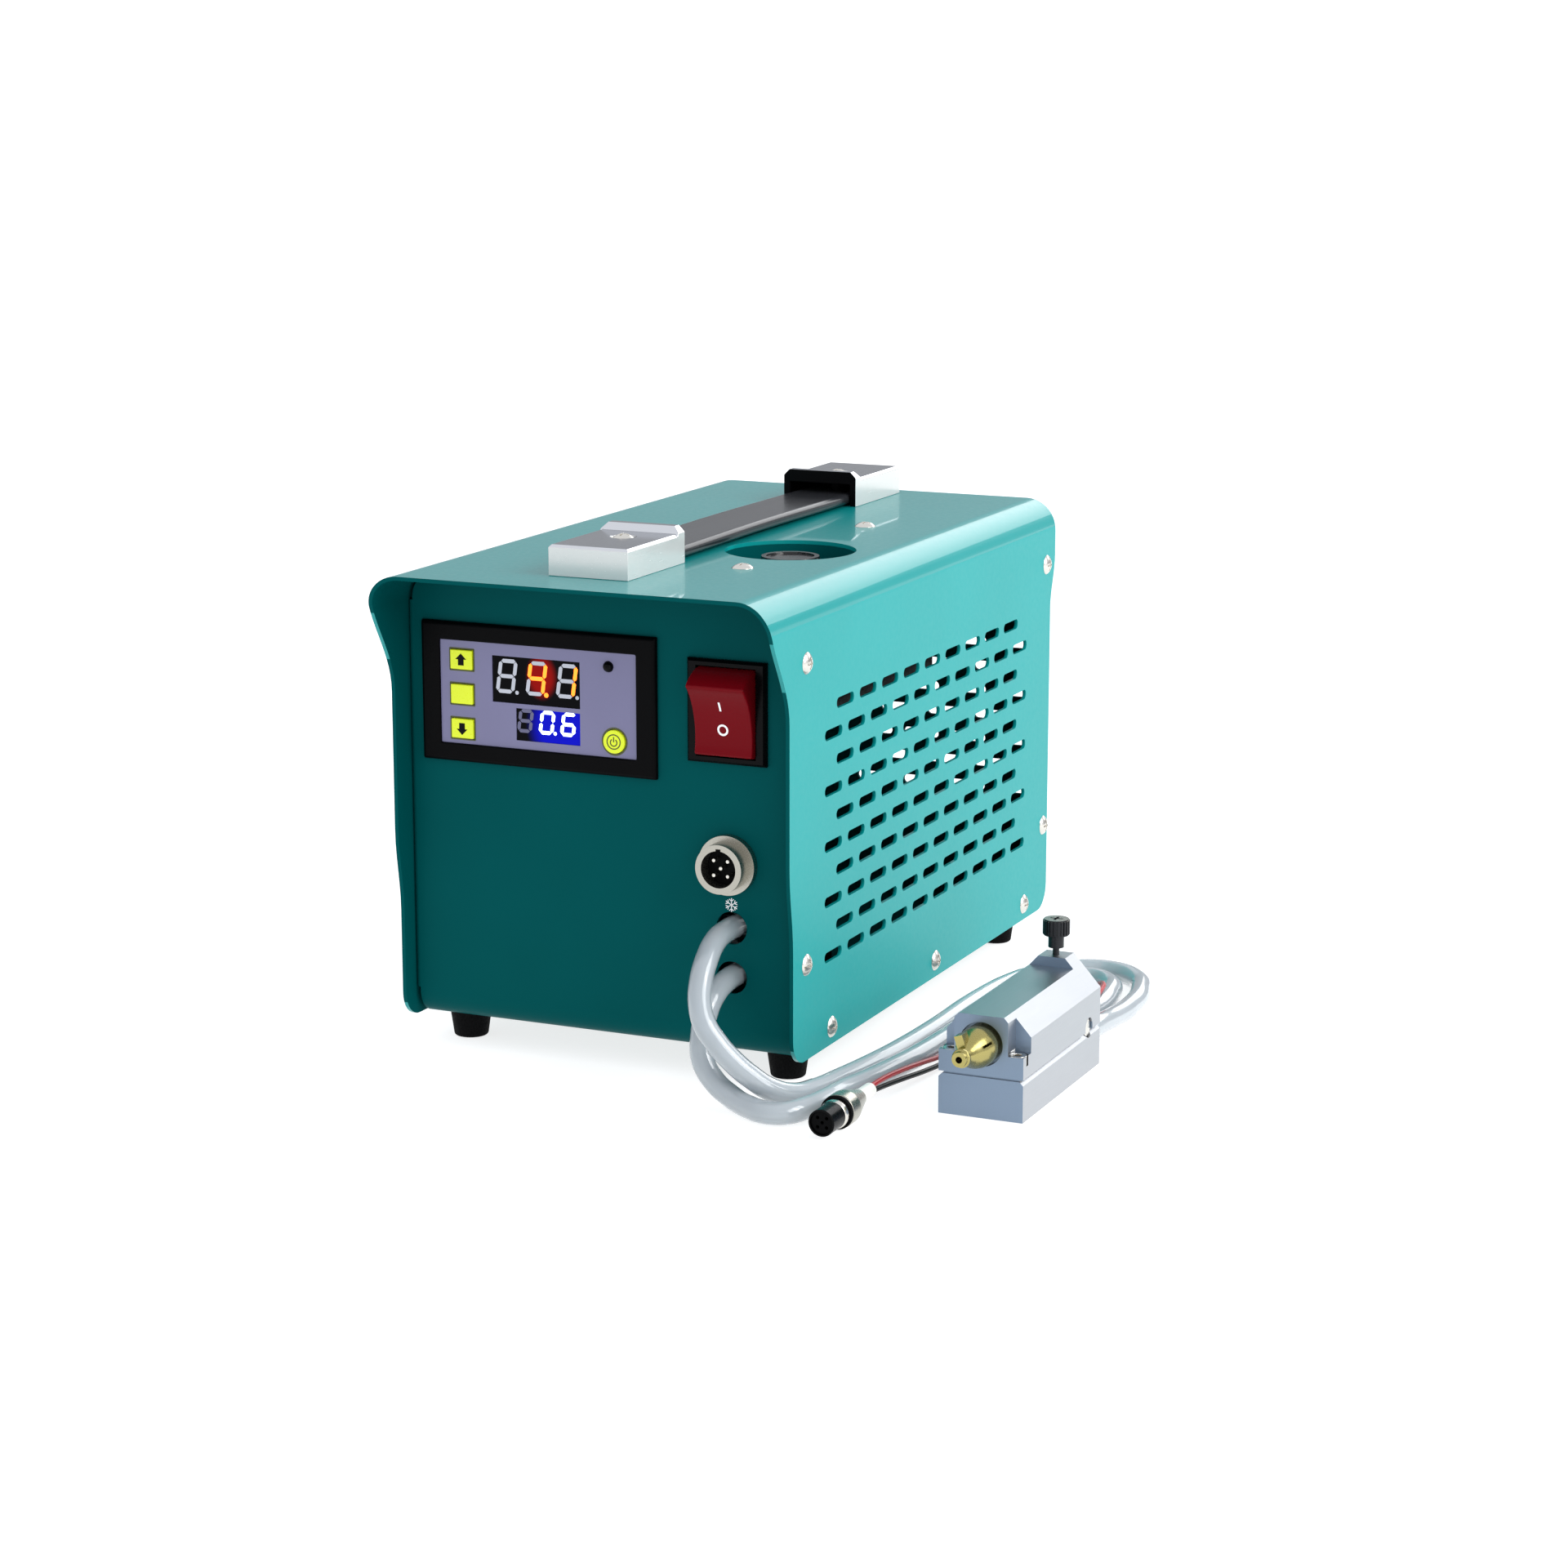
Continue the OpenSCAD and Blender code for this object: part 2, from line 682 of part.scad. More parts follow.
// A handle cap with its closed end at y = 0 and its mouth at y = cap_l
module handle_cap() {
    edge = 0.8;
    ridge_edge = 2;
    ridge_top = cap_h + cap_ridge_h;
    half = cap_w / 2;
    room_w = strap_w + 0.8;
    room_h = cap_h - cap_wall;
    difference() {
        union() {
            difference() {
                intersection() {
                    along_y(0, cap_l) polygon([[-half, 0], [half, 0], [half, cap_h - edge],
                        [half - edge, cap_h], [edge - half, cap_h], [-half, cap_h - edge]]);
                    along_x(-half, half) polygon([[0, 0], [cap_l, 0], [cap_l, cap_h],
                        [edge, cap_h], [0, cap_h - edge]]);
                }
                box(-room_w / 2, room_w / 2, cap_wall + 1, cap_l + cut, -cut, room_h);
            }
            intersection() {
                along_x(-half, half) polygon([[cap_l - cap_ridge_l - 2, cap_h - edge],
                    [cap_l - cap_ridge_l, ridge_top], [cap_l, ridge_top], [cap_l, cap_h - edge]]);
                along_y(0, cap_l) polygon([[-half, cap_h - edge], [half, cap_h - edge],
                    [half, ridge_top - ridge_edge], [half - ridge_edge, ridge_top],
                    [ridge_edge - half, ridge_top], [-half, ridge_top - ridge_edge]]);
            }
            translate([0, cap_screw_in, 0]) cylinder(r = cap_boss_r, h = room_h + 0.5);
        }
        translate([0, cap_screw_in, -cut]) cylinder(r = bolt_r + 0.15, h = cap_h + 2 * cut);
        translate([0, cap_screw_in, cap_h - 1]) cylinder(r = bolt_head_r + 0.3, h = cap_h);
    }
}

module handle_cap_front() {
    color("#D5D6D8") translate([handle_x, cap_front_y, top_z]) handle_cap();
}

module handle_cap_rear() {
    color("#D5D6D8") translate([handle_x, cap_rear_y, top_z]) mirror([0, 1, 0]) handle_cap();
}

strap_front_y = cap_front_y + strap_end_in;
strap_rear_y = cap_rear_y - strap_end_in;
bow_front_y = cap_front_y + cap_l;
bow_rear_y = cap_rear_y - cap_l;
function bow(t) = strap_bow * (1 - cos(360 * t)) / 2;
strap_top = concat([[strap_front_y, strap_z + strap_t]],
    [for (i = [0:12]) [bow_front_y + (bow_rear_y - bow_front_y) * i / 12, strap_z + strap_t + bow(i / 12)]],
    [[strap_rear_y, strap_z + strap_t]]);
strap_low = [for (i = [len(strap_top) - 1:-1:0]) [strap_top[i][0], strap_top[i][1] - strap_t]];
module handle_strap() {
    slot_room = 0.6;
    color("#5E5F63") difference() {
        along_x(handle_x - strap_w / 2, handle_x + strap_w / 2) polygon(concat(strap_top, strap_low));
        for (y = [cap_front_y + cap_screw_in, cap_rear_y - cap_screw_in]) {
            translate([handle_x, y, strap_z - cut]) linear_extrude(strap_t + 2 * cut) rotate(90)
                slot_outline(4 * cap_boss_r, 2 * (cap_boss_r + slot_room));
        }
    }
}

module handle_screws() {
    head_z = top_z + cap_h - 1;
    nut_t = 3;
    color("#D9D6D2") for (y = [cap_front_y + cap_screw_in, cap_rear_y - cap_screw_in]) {
        translate([handle_x, y, head_z])
            dome_screw(bolt_head_r, 2, bolt_r, head_z - roof_z + nut_t + 1);
        translate([handle_x, y, roof_z - nut_t]) difference() {
            cylinder(r = 4, h = nut_t, $fn = 6);
            translate([0, 0, -cut]) cylinder(r = bolt_r + thread_gap, h = nut_t + 2 * cut);
        }
    }
}

module filler_well() {
    rim = 4;
    color("#2E9E98") translate([well_x, well_y, 0]) difference() {
        union() {
            translate([0, 0, roof_z - sheet_t]) cylinder(r = well_r + rim, h = sheet_t, $fn = 96);
            translate([0, 0, well_z - sheet_t]) cylinder(r = well_r + sheet_t, h = roof_z - well_z, $fn = 96);
        }
        translate([0, 0, well_z]) cylinder(r = well_r, h = well_depth, $fn = 96);
        translate([0, 0, well_z - sheet_t - cut]) cylinder(r = neck_r + 0.3, h = sheet_t + 2 * cut);
    }
}

tank_spigot_x = tank_x - 11.2;
tank_back_y = tank_front_y + tank_l;
tank_low = tank_top - tank_h;
tank_mid_y = tank_front_y + tank_l / 2;
tank_rim = tank_top - tank_wall;
tank_round = 6;
module water_tank() {
    wall = tank_wall;
    spigot_bore_r = 2;
    spigot_l = 8;
    color("#D8DCDD") difference() {
        union() {
            translate([tank_x, tank_mid_y, tank_low]) linear_extrude(tank_h - wall)
                round_rect(tank_w, tank_l, tank_round);
            translate([pump_x, pump_y, tank_low - spigot_l]) cylinder(r = spigot_r, h = spigot_l + wall / 2);
            rod_y(tank_spigot_x, tank_low + 22, spigot_r, tank_back_y - wall / 2, tank_back_y + spigot_l);
        }
        translate([tank_x, tank_mid_y, tank_low + wall]) linear_extrude(tank_h)
            round_rect(tank_w - 2 * wall, tank_l - 2 * wall, tank_round - wall + 0.4);
        translate([pump_x, pump_y, tank_low - spigot_l - cut])
            cylinder(r = spigot_bore_r, h = spigot_l + wall + 2 * cut);
        rod_y(tank_spigot_x, tank_low + 22, spigot_bore_r, tank_back_y - wall - cut,
              tank_back_y + spigot_l + cut);
    }
}

// The lid is welded on the tank. It has the neck and the two bosses under the cover.
module tank_lid() {
    boss_r = 4.6;
    color("#D8DCDD") difference() {
        union() {
            translate([tank_x, tank_mid_y, tank_rim]) linear_extrude(tank_wall)
                round_rect(tank_w, tank_l, tank_round);
            translate([well_x, well_y, tank_rim]) cylinder(r = neck_r, h = neck_top - tank_rim);
            for (s = [0, 1]) {
                ear_y = s == 0 ? tank_front_y - ear_reach : tank_back_y - 2;
                box(tank_x - 7, tank_x + 7, ear_y, ear_y + ear_reach + 2, tank_rim, tank_top);
                translate([tank_x, ear_places[s], tank_rim]) cylinder(r = boss_r, h = roof_z - tank_rim);
            }
        }
        translate([well_x, well_y, tank_rim - cut])
            cylinder(r = neck_bore_r, h = neck_top - tank_rim + 2 * cut);
        for (y = ear_places) {
            translate([tank_x, y, roof_z - 6]) cylinder(r = screw_r + thread_gap, h = 6 + cut);
        }
    }
}

module cap_gasket() {
    color("#B8402A") translate([well_x, well_y, neck_top]) difference() {
        cylinder(r = neck_r - 0.1, h = gasket_t);
        translate([0, 0, -cut]) cylinder(r = neck_bore_r, h = gasket_t + 2 * cut);
    }
}

module tank_cap() {
    skirt_z = well_z + 0.5;
    roof = neck_top + gasket_t;
    ribs = 24;
    color("#1E1E20") translate([well_x, well_y, 0]) difference() {
        union() {
            translate([0, 0, skirt_z]) cylinder(r = tank_cap_r - 0.5, h = tank_cap_top - skirt_z);
            translate([0, 0, skirt_z]) cylinder(r = tank_cap_r, h = 1.5);
            translate([0, 0, tank_cap_top - 1.5]) cylinder(r1 = tank_cap_r, r2 = tank_cap_r - 0.6, h = 1.5);
            for (k = [0:ribs - 1]) {
                rotate([0, 0, 360 * k / ribs]) translate([tank_cap_r - 1, -0.35, skirt_z + 0.8])
                    cube([0.9, 0.7, tank_cap_top - skirt_z - 1.8]);
            }
        }
        translate([0, 0, skirt_z - cut]) cylinder(r = neck_r + run_gap, h = roof - skirt_z + cut);
        translate([0, 0, tank_cap_top - 0.6]) cylinder(r = tank_cap_r - 2, h = cut);
    }
}

module controller_bezel() {
    color("#202124") translate([ctl_x, -ctl_proud, ctl_z]) difference() {
        faced_block(ctl_w, ctl_h, ctl_proud, 0.9);
        box_at(0, 0, face_w, face_h, -cut, ctl_proud + cut);
    }
}

key_rows = [1, 0, -1];
module key_shape(proud) {
    box_at(0, 0, key_w, key_h, face_y - proud, board_y - key_travel - 0.1);
}

module controller_face() {
    hole = 2 * key_gap;
    back = face_y + face_t;
    color("#A3A1C0") difference() {
        box_at(ctl_x, ctl_z, face_w - fit_gap, face_h - fit_gap, face_y, back);
        for (i = key_rows) {
            box_at(key_x, key_z + i * key_step, key_w + hole, key_h + hole, face_y - cut, back + cut);
        }
        for (d = [upper_digits, lower_digits]) {
            box_at(d[0], d[1], d[2] + fit_gap, d[3] + fit_gap, face_y - cut, back + cut);
        }
        rod_y(round_key_x, round_key_z, round_key_r + key_gap, face_y - cut, back + cut);
        rod_y(led_x, led_z, led_r + fit_gap, face_y - cut, back + cut);
    }
}

module controller_case() {
    wall = 1.5;
    clip_t = 3.4;
    color("#26272A") difference() {
        union() {
            box_at(ctl_x, ctl_z, ctl_case_w, ctl_case_h, 0, ctl_depth);
            for (s = [-1, 1]) {
                box_at(ctl_x + s * (ctl_case_w + clip_t) / 2, ctl_z, clip_t, 10, sheet_t, sheet_t + 12);
            }
        }
        box_at(ctl_x, ctl_z, ctl_case_w - 2 * wall, ctl_case_h - 2 * wall, -cut, ctl_depth - wall);
    }
}

module controller_board() {
    color("#2C6B3F") {
        box_at(ctl_x, ctl_z, ctl_case_w - 3.2, ctl_case_h - 3.2, board_y, board_y + board_t);
        box_at(ctl_x - 18, ctl_z - 4, 16, 19, board_y + board_t, board_y + board_t + 16);
        box_at(ctl_x + 14, ctl_z + 2, 24, 24, board_y + board_t, board_y + board_t + 13);
    }
}

module led_displays() {
    color("#1A1518") for (d = [upper_digits, lower_digits]) {
        box_at(d[0], d[1], d[2] - fit_gap, d[3] - fit_gap, face_y + 0.25, board_y);
    }
}

module square_key(row) {
    color("#E2EE22") translate([key_x, 0, key_z + row * key_step]) key_shape(key_proud);
}

module key_up() {
    square_key(1);
}

module key_set() {
    square_key(0);
}

module key_down() {
    square_key(-1);
}

module key_power() {
    color("#E2EE22") rod_y(round_key_x, round_key_z, round_key_r, face_y - key_proud,
                           board_y - key_travel - 0.1);
}

module status_led() {
    color("#C8C8D8") {
        rod_y(led_x, led_z, led_r, face_y, board_y);
        translate([led_x, face_y, led_z]) rotate([90, 0, 0]) intersection() {
            sphere(led_r);
            cylinder(r = led_r, h = led_r);
        }
    }
}

module rocker_housing() {
    color("#1C1D1F") difference() {
        union() {
            translate([switch_x, -switch_proud, switch_z]) faced_block(switch_w, switch_h, switch_proud, 0.8);
            box_at(switch_x, switch_z, switch_body_w, switch_body_h, -0.1, switch_depth);
        }
        box_at(switch_x, switch_z, switch_cut_w, 2 * (rocker_r + rocker_room), -switch_proud - cut, rocker_y);
        intersection() {
            rod_x(rocker_y, switch_z, rocker_r + rocker_room, switch_x - switch_cut_w / 2,
                  switch_x + switch_cut_w / 2);
            box_at(switch_x, switch_z, switch_cut_w, switch_h, rocker_y - cut, switch_depth);
        }
        rod_x(rocker_y, switch_z, axle_r + run_gap, switch_x - switch_cut_w / 2 - 1,
              switch_x + switch_cut_w / 2 + 1);
    }
}

// The rocker's side outline about its pivot, before it is tipped to its rest position
rocker_lip = 8;
rocker_dip = 4.6;
module rocker_outline() {
    intersection() {
        polygon([[-rocker_lip, rocker_r], [-rocker_dip, 0], [-rocker_lip, -rocker_r],
                 [5, -rocker_r], [8, -5], [8, 5], [5, rocker_r]]);
        circle(rocker_r);
    }
}

module power_rocker() {
    color("#D8231E") translate([switch_x, rocker_y, switch_z]) {
        rotate([rocker_rest, 0, 0]) along_x(-rocker_w / 2, rocker_w / 2) rocker_outline();
        rod_x(0, 0, axle_r, -switch_cut_w / 2 - 0.9, switch_cut_w / 2 + 0.9);
    }
}

module rocker_terminals() {
    color("#C9A24A") for (x = [-5.5, 5.5], z = [-8, 0, 8]) {
        if (x < 0 || z != 0) {
            box_at(switch_x + x, switch_z + z, tab_w, tab_t, switch_depth, switch_depth + tab_l);
        }
    }
}

module socket_shell() {
    flange_r = socket_r + 1.6;
    flange_t = 2.5;
    color("#B9BBBD") difference() {
        union() {
            rod_y(socket_x, socket_z, socket_r, -socket_mouth, socket_back);
            rod_y(socket_x, socket_z, flange_r, -flange_t, 0);
        }
        rod_y(socket_x, socket_z, socket_r - socket_wall, -socket_mouth - cut, socket_back + cut);
        box_at(socket_x, socket_z + socket_r - socket_wall, 1.6, 1.2, -socket_mouth - cut, -3);
    }
}

module socket_nut() {
    nut_t = 3;
    color("#A9ABAD") translate([socket_x, sheet_t + nut_t, socket_z]) rotate([90, 0, 0]) difference() {
        cylinder(r = socket_r + 3.3, h = nut_t, $fn = 6);
        translate([0, 0, -cut]) cylinder(r = socket_r + thread_gap, h = nut_t + 2 * cut);
    }
}

socket_face_y = -3;
function pin_place(k) = k == 4 ? [0, 0] : [pin_ring_r * cos(45 + 90 * k), pin_ring_r * sin(45 + 90 * k)];
module socket_insert() {
    color("#2B2B2D") difference() {
        rod_y(socket_x, socket_z, socket_r - socket_wall - 0.02, socket_face_y, socket_back - 2);
        for (k = [0:4]) {
            p = pin_place(k);
            rod_y(socket_x + p[0], socket_z + p[1], pin_r + 0.02, socket_face_y - cut, socket_back);
        }
    }
}

module socket_pins() {
    color("#D2B35A") for (k = [0:4]) {
        p = pin_place(k);
        rod_y(socket_x + p[0], socket_z + p[1], pin_r, socket_face_y - 3.4, socket_back + 2);
    }
}

module pump_body() {
    volute_top = can_top + volute_h;
    color("#2A2B2E") difference() {
        union() {
            translate([pump_x - 17, pump_y - 17, floor_z]) cube([34, 34, pump_plate_t]);
            translate([pump_x, pump_y, can_top]) cylinder(r = volute_r, h = volute_h);
            translate([pump_x, pump_y, volute_top - 1])
                cylinder(r = spigot_r, h = inlet_top - volute_top + 1);
            rod_y(hose_x, supply_z, spigot_r, 26, pump_y);
            for (a = [45:90:315]) {
                translate([pump_x + 21 * cos(a), pump_y + 21 * sin(a), floor_z])
                    cylinder(r = 2.4, h = can_top - floor_z + 3);
            }
        }
        translate([pump_x, pump_y, can_top + 2]) cylinder(r = volute_cavity_r, h = volute_h - 4);
        translate([pump_x, pump_y, volute_top - 3]) cylinder(r = 2, h = inlet_top - volute_top + 4);
        translate([pump_x, pump_y, can_top - cut]) cylinder(r = shaft_r + run_gap, h = 4);
        rod_y(hose_x, supply_z, 2, 25, pump_y - 3);
    }
}

module pump_motor() {
    color("#8E9196") difference() {
        translate([pump_x, pump_y, floor_z + pump_plate_t])
            cylinder(r = can_r, h = can_top - floor_z - pump_plate_t);
        translate([pump_x, pump_y, can_top - 4]) cylinder(r = shaft_r + run_gap, h = 4 + cut);
    }
}

module pump_impeller() {
    disc_z = can_top + 2.6;
    vanes = 6;
    color("#E7E7E2") translate([pump_x, pump_y, 0]) {
        translate([0, 0, disc_z]) cylinder(r = volute_cavity_r - 1.5, h = 1.4);
        translate([0, 0, disc_z + 1]) cylinder(r = 3, h = 3.4);
        translate([0, 0, can_top - 3.4]) cylinder(r = shaft_r, h = disc_z - can_top + 4);
        for (k = [0:vanes - 1]) {
            rotate([0, 0, 360 * k / vanes]) translate([2, -0.6, disc_z + 1])
                rotate([0, 0, 20]) cube([11.5, 1.2, 3]);
        }
    }
}

// Water runs inside the case: tank to pump, pump to panel, panel to radiator, radiator to tank
rad_spigot_x = fan_x + 17;
low_spigot_z = rad_z + 10;
high_spigot_z = rad_z + 70;
return_inner = [
    [hose_x, hose_start_y, return_z], [hose_x, 12, return_z], [40, 20, return_z], [31, 27, return_z + 0.3],
    [18, 29, return_z + 2], [5, 35, return_z + 8], [-3, 50, return_z + 17], [-7, 67, return_z + 26],
    [-13, rad_front_y + 4, low_spigot_z], [rad_spigot_x, rad_front_y + 4, low_spigot_z]];
high_spigot_y = rad_front_y + header_w + fan_size + 4;
tank_inner = [
    [rad_spigot_x, high_spigot_y, high_spigot_z], [-12, high_spigot_y, high_spigot_z],
    [2, high_spigot_y - 3, high_spigot_z + 1], [13, high_spigot_y - 11, tank_low + 21],
    [tank_spigot_x, tank_back_y + 20, tank_low + 22],
    [tank_spigot_x, tank_back_y + 8, tank_low + 22]];
module inner_hoses() {
    color("#D6DADC") {
        translate([pump_x, pump_y, inlet_top]) cylinder(d = hose_d, h = tank_low - 8 - inlet_top);
        rod_y(hose_x, supply_z, hose_d / 2, hose_start_y, 26);
        tube(return_inner, hose_d, 12);
        tube(tank_inner, hose_d, 12);
    }
}

rad_fins = 16;
rad_tubes = 8;
rad_core_y = rad_front_y + header_w;
module radiator_core() {
    tube_t = 2;
    fin_t = 0.5;
    fin_step = fan_size / rad_fins;
    tube_step = fan_size / rad_tubes;
    color("#33363A") {
        for (k = [0:rad_tubes]) {
            z = rad_z + min(max(k * tube_step - tube_t / 2, 0), fan_size - tube_t);
            box(rad_x, rad_x + rad_t, rad_core_y, rad_core_y + fan_size, z, z + tube_t);
        }
        for (k = [1:rad_fins - 1]) {
            y = rad_core_y + k * fin_step;
            box(rad_x + 1, rad_x + rad_t - 1, y, y + fin_t, rad_z + 0.5, rad_z + fan_size - 0.5);
        }
    }
}

module radiator_headers() {
    color("#44474C") for (s = [0, 1]) {
        y = s == 0 ? rad_front_y : rad_core_y + fan_size;
        z = s == 0 ? low_spigot_z : high_spigot_z;
        box(rad_x, rad_x + rad_t, y, y + header_w, rad_z - 2, rad_z + fan_size + 2);
        rod_x(y + header_w / 2, z, spigot_r, rad_x + rad_t - 0.5, rad_spigot_x);
    }
}

module radiator_stands() {
    foot_reach = 12;
    stand_top = rad_z + fan_size;
    rad_rear_y = rad_core_y + fan_size + header_w;
    color("#9DA1A6") {
        box(rad_x, rad_x + rad_t, rad_front_y - stand_t, rad_front_y, floor_z, stand_top);
        box(rad_x, rad_x + rad_t, rad_front_y - foot_reach, rad_front_y, floor_z, floor_z + stand_t);
        box(rad_x, rad_x + rad_t, rad_rear_y, rad_rear_y + stand_t, floor_z, stand_top);
        box(rad_x, rad_x + rad_t, rad_rear_y, rad_rear_y + foot_reach, floor_z, floor_z + stand_t);
    }
}

fan_hole_half = fan_size / 2 - fan_hole_in;
module fan_frame() {
    strut_t = 2;
    color("#232427") difference() {
        union() {
            difference() {
                box(fan_x, fan_x + fan_t, fan_y - fan_size / 2, fan_y + fan_size / 2,
                    fan_z - fan_size / 2, fan_z + fan_size / 2);
                rod_x(fan_y, fan_z, fan_bore_r, fan_x - cut, fan_x + fan_t + cut);
            }
            rod_x(fan_y, fan_z, fan_hub_r, fan_x + fan_t - strut_t, fan_x + fan_t);
            for (a = [45:90:315]) {
                translate([fan_x + fan_t - strut_t, fan_y, fan_z]) rotate([a, 0, 0])
                    translate([0, fan_hub_r - 1, -1.5]) cube([strut_t, fan_bore_r - fan_hub_r + 2, 3]);
            }
        }
        rod_x(fan_y, fan_z, shaft_r + run_gap, fan_x, fan_x + fan_t + cut);
        for (y = [-fan_hole_half, fan_hole_half], z = [-fan_hole_half, fan_hole_half]) {
            rod_x(fan_y + y, fan_z + z, 2, fan_x - cut, fan_x + fan_t + cut);
        }
    }
}

module fan_rotor() {
    hub_l = 9.5;
    back_x = fan_x + 1.5;
    color("#2B2C30") translate([back_x, fan_y, fan_z]) {
        rod_x(0, 0, fan_hub_r - 0.5, 0, hub_l);
        rod_x(0, 0, shaft_r, 0, fan_t - 2);
        intersection() {
            rod_x(0, 0, fan_bore_r - 1.5, 0, hub_l);
            for (k = [0:blade_count - 1]) {
                rotate([360 * k / blade_count, 0, 0]) translate([hub_l / 2, fan_hub_r - 2, 0])
                    rotate([0, 35, 0]) translate([-8, 0, -0.7]) cube([16, fan_bore_r, 1.4]);
            }
        }
    }
}

module fan_screws() {
    color("#B9B9BB") for (y = [-fan_hole_half, fan_hole_half], z = [-fan_hole_half, fan_hole_half]) {
        translate([fan_x + fan_t, fan_y + y, fan_z + z]) rotate([0, 90, 0])
            dome_screw(3.2, 1.8, 1.9, fan_t - 0.1);
    }
}

// The four short feet are pressed into the case's own sheet.
module psu_case() {
    wall = 1;
    foot_in = 8;
    color("#A6A9AD") difference() {
        union() {
            box(psu_x, psu_x + psu_w, psu_front_y, psu_front_y + psu_l, psu_z, psu_z + psu_h);
            for (x = [psu_x + foot_in, psu_x + psu_w - foot_in], y = [foot_in, psu_l - foot_in]) {
                translate([x, psu_front_y + y, floor_z]) cylinder(r = 3.4, h = standoff_h + wall, $fn = 6);
            }
        }
        box(psu_x + wall, psu_x + psu_w - wall, psu_front_y - cut, psu_front_y + psu_l - wall,
            psu_z + wall, psu_z + psu_h - wall);
        for (k = [1:8]) {
            y = psu_front_y + psu_l * k / 9.4;
            box(psu_x + psu_w - 2, psu_x + psu_w + cut, y, y + 4, psu_z + 8, psu_z + psu_h - 8);
        }
    }
}

module psu_board() {
    wall = 1;
    board_z = psu_z + wall;
    color("#A5702E") {
        box(psu_x + wall + 1, psu_x + psu_w - wall - 1, psu_front_y + 2, psu_front_y + psu_l - 3,
            board_z, board_z + 1.6);
        box(psu_x + 18, psu_x + 42, psu_front_y + psu_l * 0.47, psu_front_y + psu_l * 0.72,
            board_z + 1.6, board_z + 22);
        box(psu_x + 5, psu_x + psu_w - 5, psu_front_y + 3, psu_front_y + 13, board_z + 1.6, board_z + 15);
        for (y = [psu_l * 0.26, psu_l * 0.85]) {
            translate([psu_x + 15, psu_front_y + y, board_z + 1.6]) cylinder(r = 6, h = 20);
        }
    }
}

module mains_inlet() {
    rim = 1.9;
    rim_t = 2.6;
    mouth_w = 24.4;
    mouth_h = 16.6;
    tongue_w = 16.2;
    tongue_h = 9.6;
    floor_t = 3;
    color("#1D1E20") {
        difference() {
            union() {
                box_at(inlet_x, inlet_z, inlet_w, inlet_h, rear_y - inlet_depth, rear_y);
                box_at(inlet_x, inlet_z, inlet_w + 2 * rim, inlet_h + 2 * rim, rear_y, rear_y + rim_t);
            }
            box_at(inlet_x, inlet_z, mouth_w, mouth_h, rear_y - inlet_depth + floor_t, rear_y + rim_t + cut);
        }
        box_at(inlet_x, inlet_z, tongue_w, tongue_h, rear_y - inlet_depth + floor_t, rear_y - 6);
    }
    color("#C9A24A") for (p = [[-7, -2], [0, 2], [7, -2]]) {
        box_at(inlet_x + p[0], inlet_z + p[1], 2, 4, rear_y - 6, rear_y - 1.5);
        box_at(inlet_x + p[0], inlet_z + p[1], 0.8, 4.8, rear_y - inlet_depth - 6, rear_y - inlet_depth);
    }
}

// Half outline of the head's roof: the chamfer keeps one slope up to the end plate's top
edge_slope = head_edge_in / (head_h - head_edge_z);
module head_outline(top) {
    half = head_w / 2;
    top_half = half - edge_slope * (top - head_edge_z);
    polygon([[-half, seam_z], [half, seam_z], [half, head_edge_z], [top_half, top],
             [-top_half, top], [-half, head_edge_z]]);
}

module side_pin_pocket() {
    for (s = [-1, 1]) {
        rod_x(side_pin_y, seam_z + 1, cap_pocket_r, s * head_w / 2 - 3, s * head_w / 2 + 3);
    }
}

module head_upper_block() {
    half = head_w / 2;
    color("#AEB9C9") translate([head_x, 0, 0]) difference() {
        along_y(0, block_l) head_outline(head_h);
        rod_y(0, bore_z, barrel_r, -cut, block_l + cut);
        rod_y(0, bore_z, nozzle_seat_r, -cut, nozzle_seat_l);
        for (s = [-1, 1]) {
            box(s * half - notch_x, s * half + notch_x, -cut, notch_y, notch_z, head_h + cut);
            translate([s * (half - 3), 3.2, notch_z - 3]) cylinder(r = cap_pocket_r, h = 4);
            translate([s * (half - 3), 3.2, seam_z - cut]) cylinder(r = cap_screw_r + fit_gap, h = 12);
            rod_y(s * plate_screw_x, plate_screw_z, cap_screw_r + thread_gap, block_l - 8, block_l + cut);
        }
        side_pin_pocket();
    }
}

module head_lower_block() {
    half = head_w / 2;
    front_run = 8;
    front_step = 0.6;
    color("#A2AEBF") translate([head_x, 0, 0]) difference() {
        along_y(0, head_l) polygon([[-half, 0], [half, 0], [half, seam_z - lower_edge],
            [half - lower_edge, seam_z], [lower_edge - half, seam_z], [-half, seam_z - lower_edge]]);
        box(-cell_w / 2 - fit_gap, cell_w / 2 + fit_gap, 10 - fit_gap, 10 + cell_l + fit_gap,
            seam_z - cell_t, seam_z + cut);
        box(-2.4, 2.4, 10 + cell_l - cut, head_l + cut, wire_z - wire_d / 2 - 0.2, seam_z + cut);
        box(-half - cut, half + cut, -cut, front_step, seam_z - front_step, seam_z + cut);
        for (s = [-1, 1]) {
            rod_y(s * barb_step, barb_z, water_r, front_run, head_l + cut);
            translate([s * (half - 3), 3.2, seam_z - 7]) cylinder(r = cap_screw_r + thread_gap, h = 8);
        }
        rod_x(front_run + water_r, barb_z, water_r, -barb_step, barb_step);
        side_pin_pocket();
    }
}

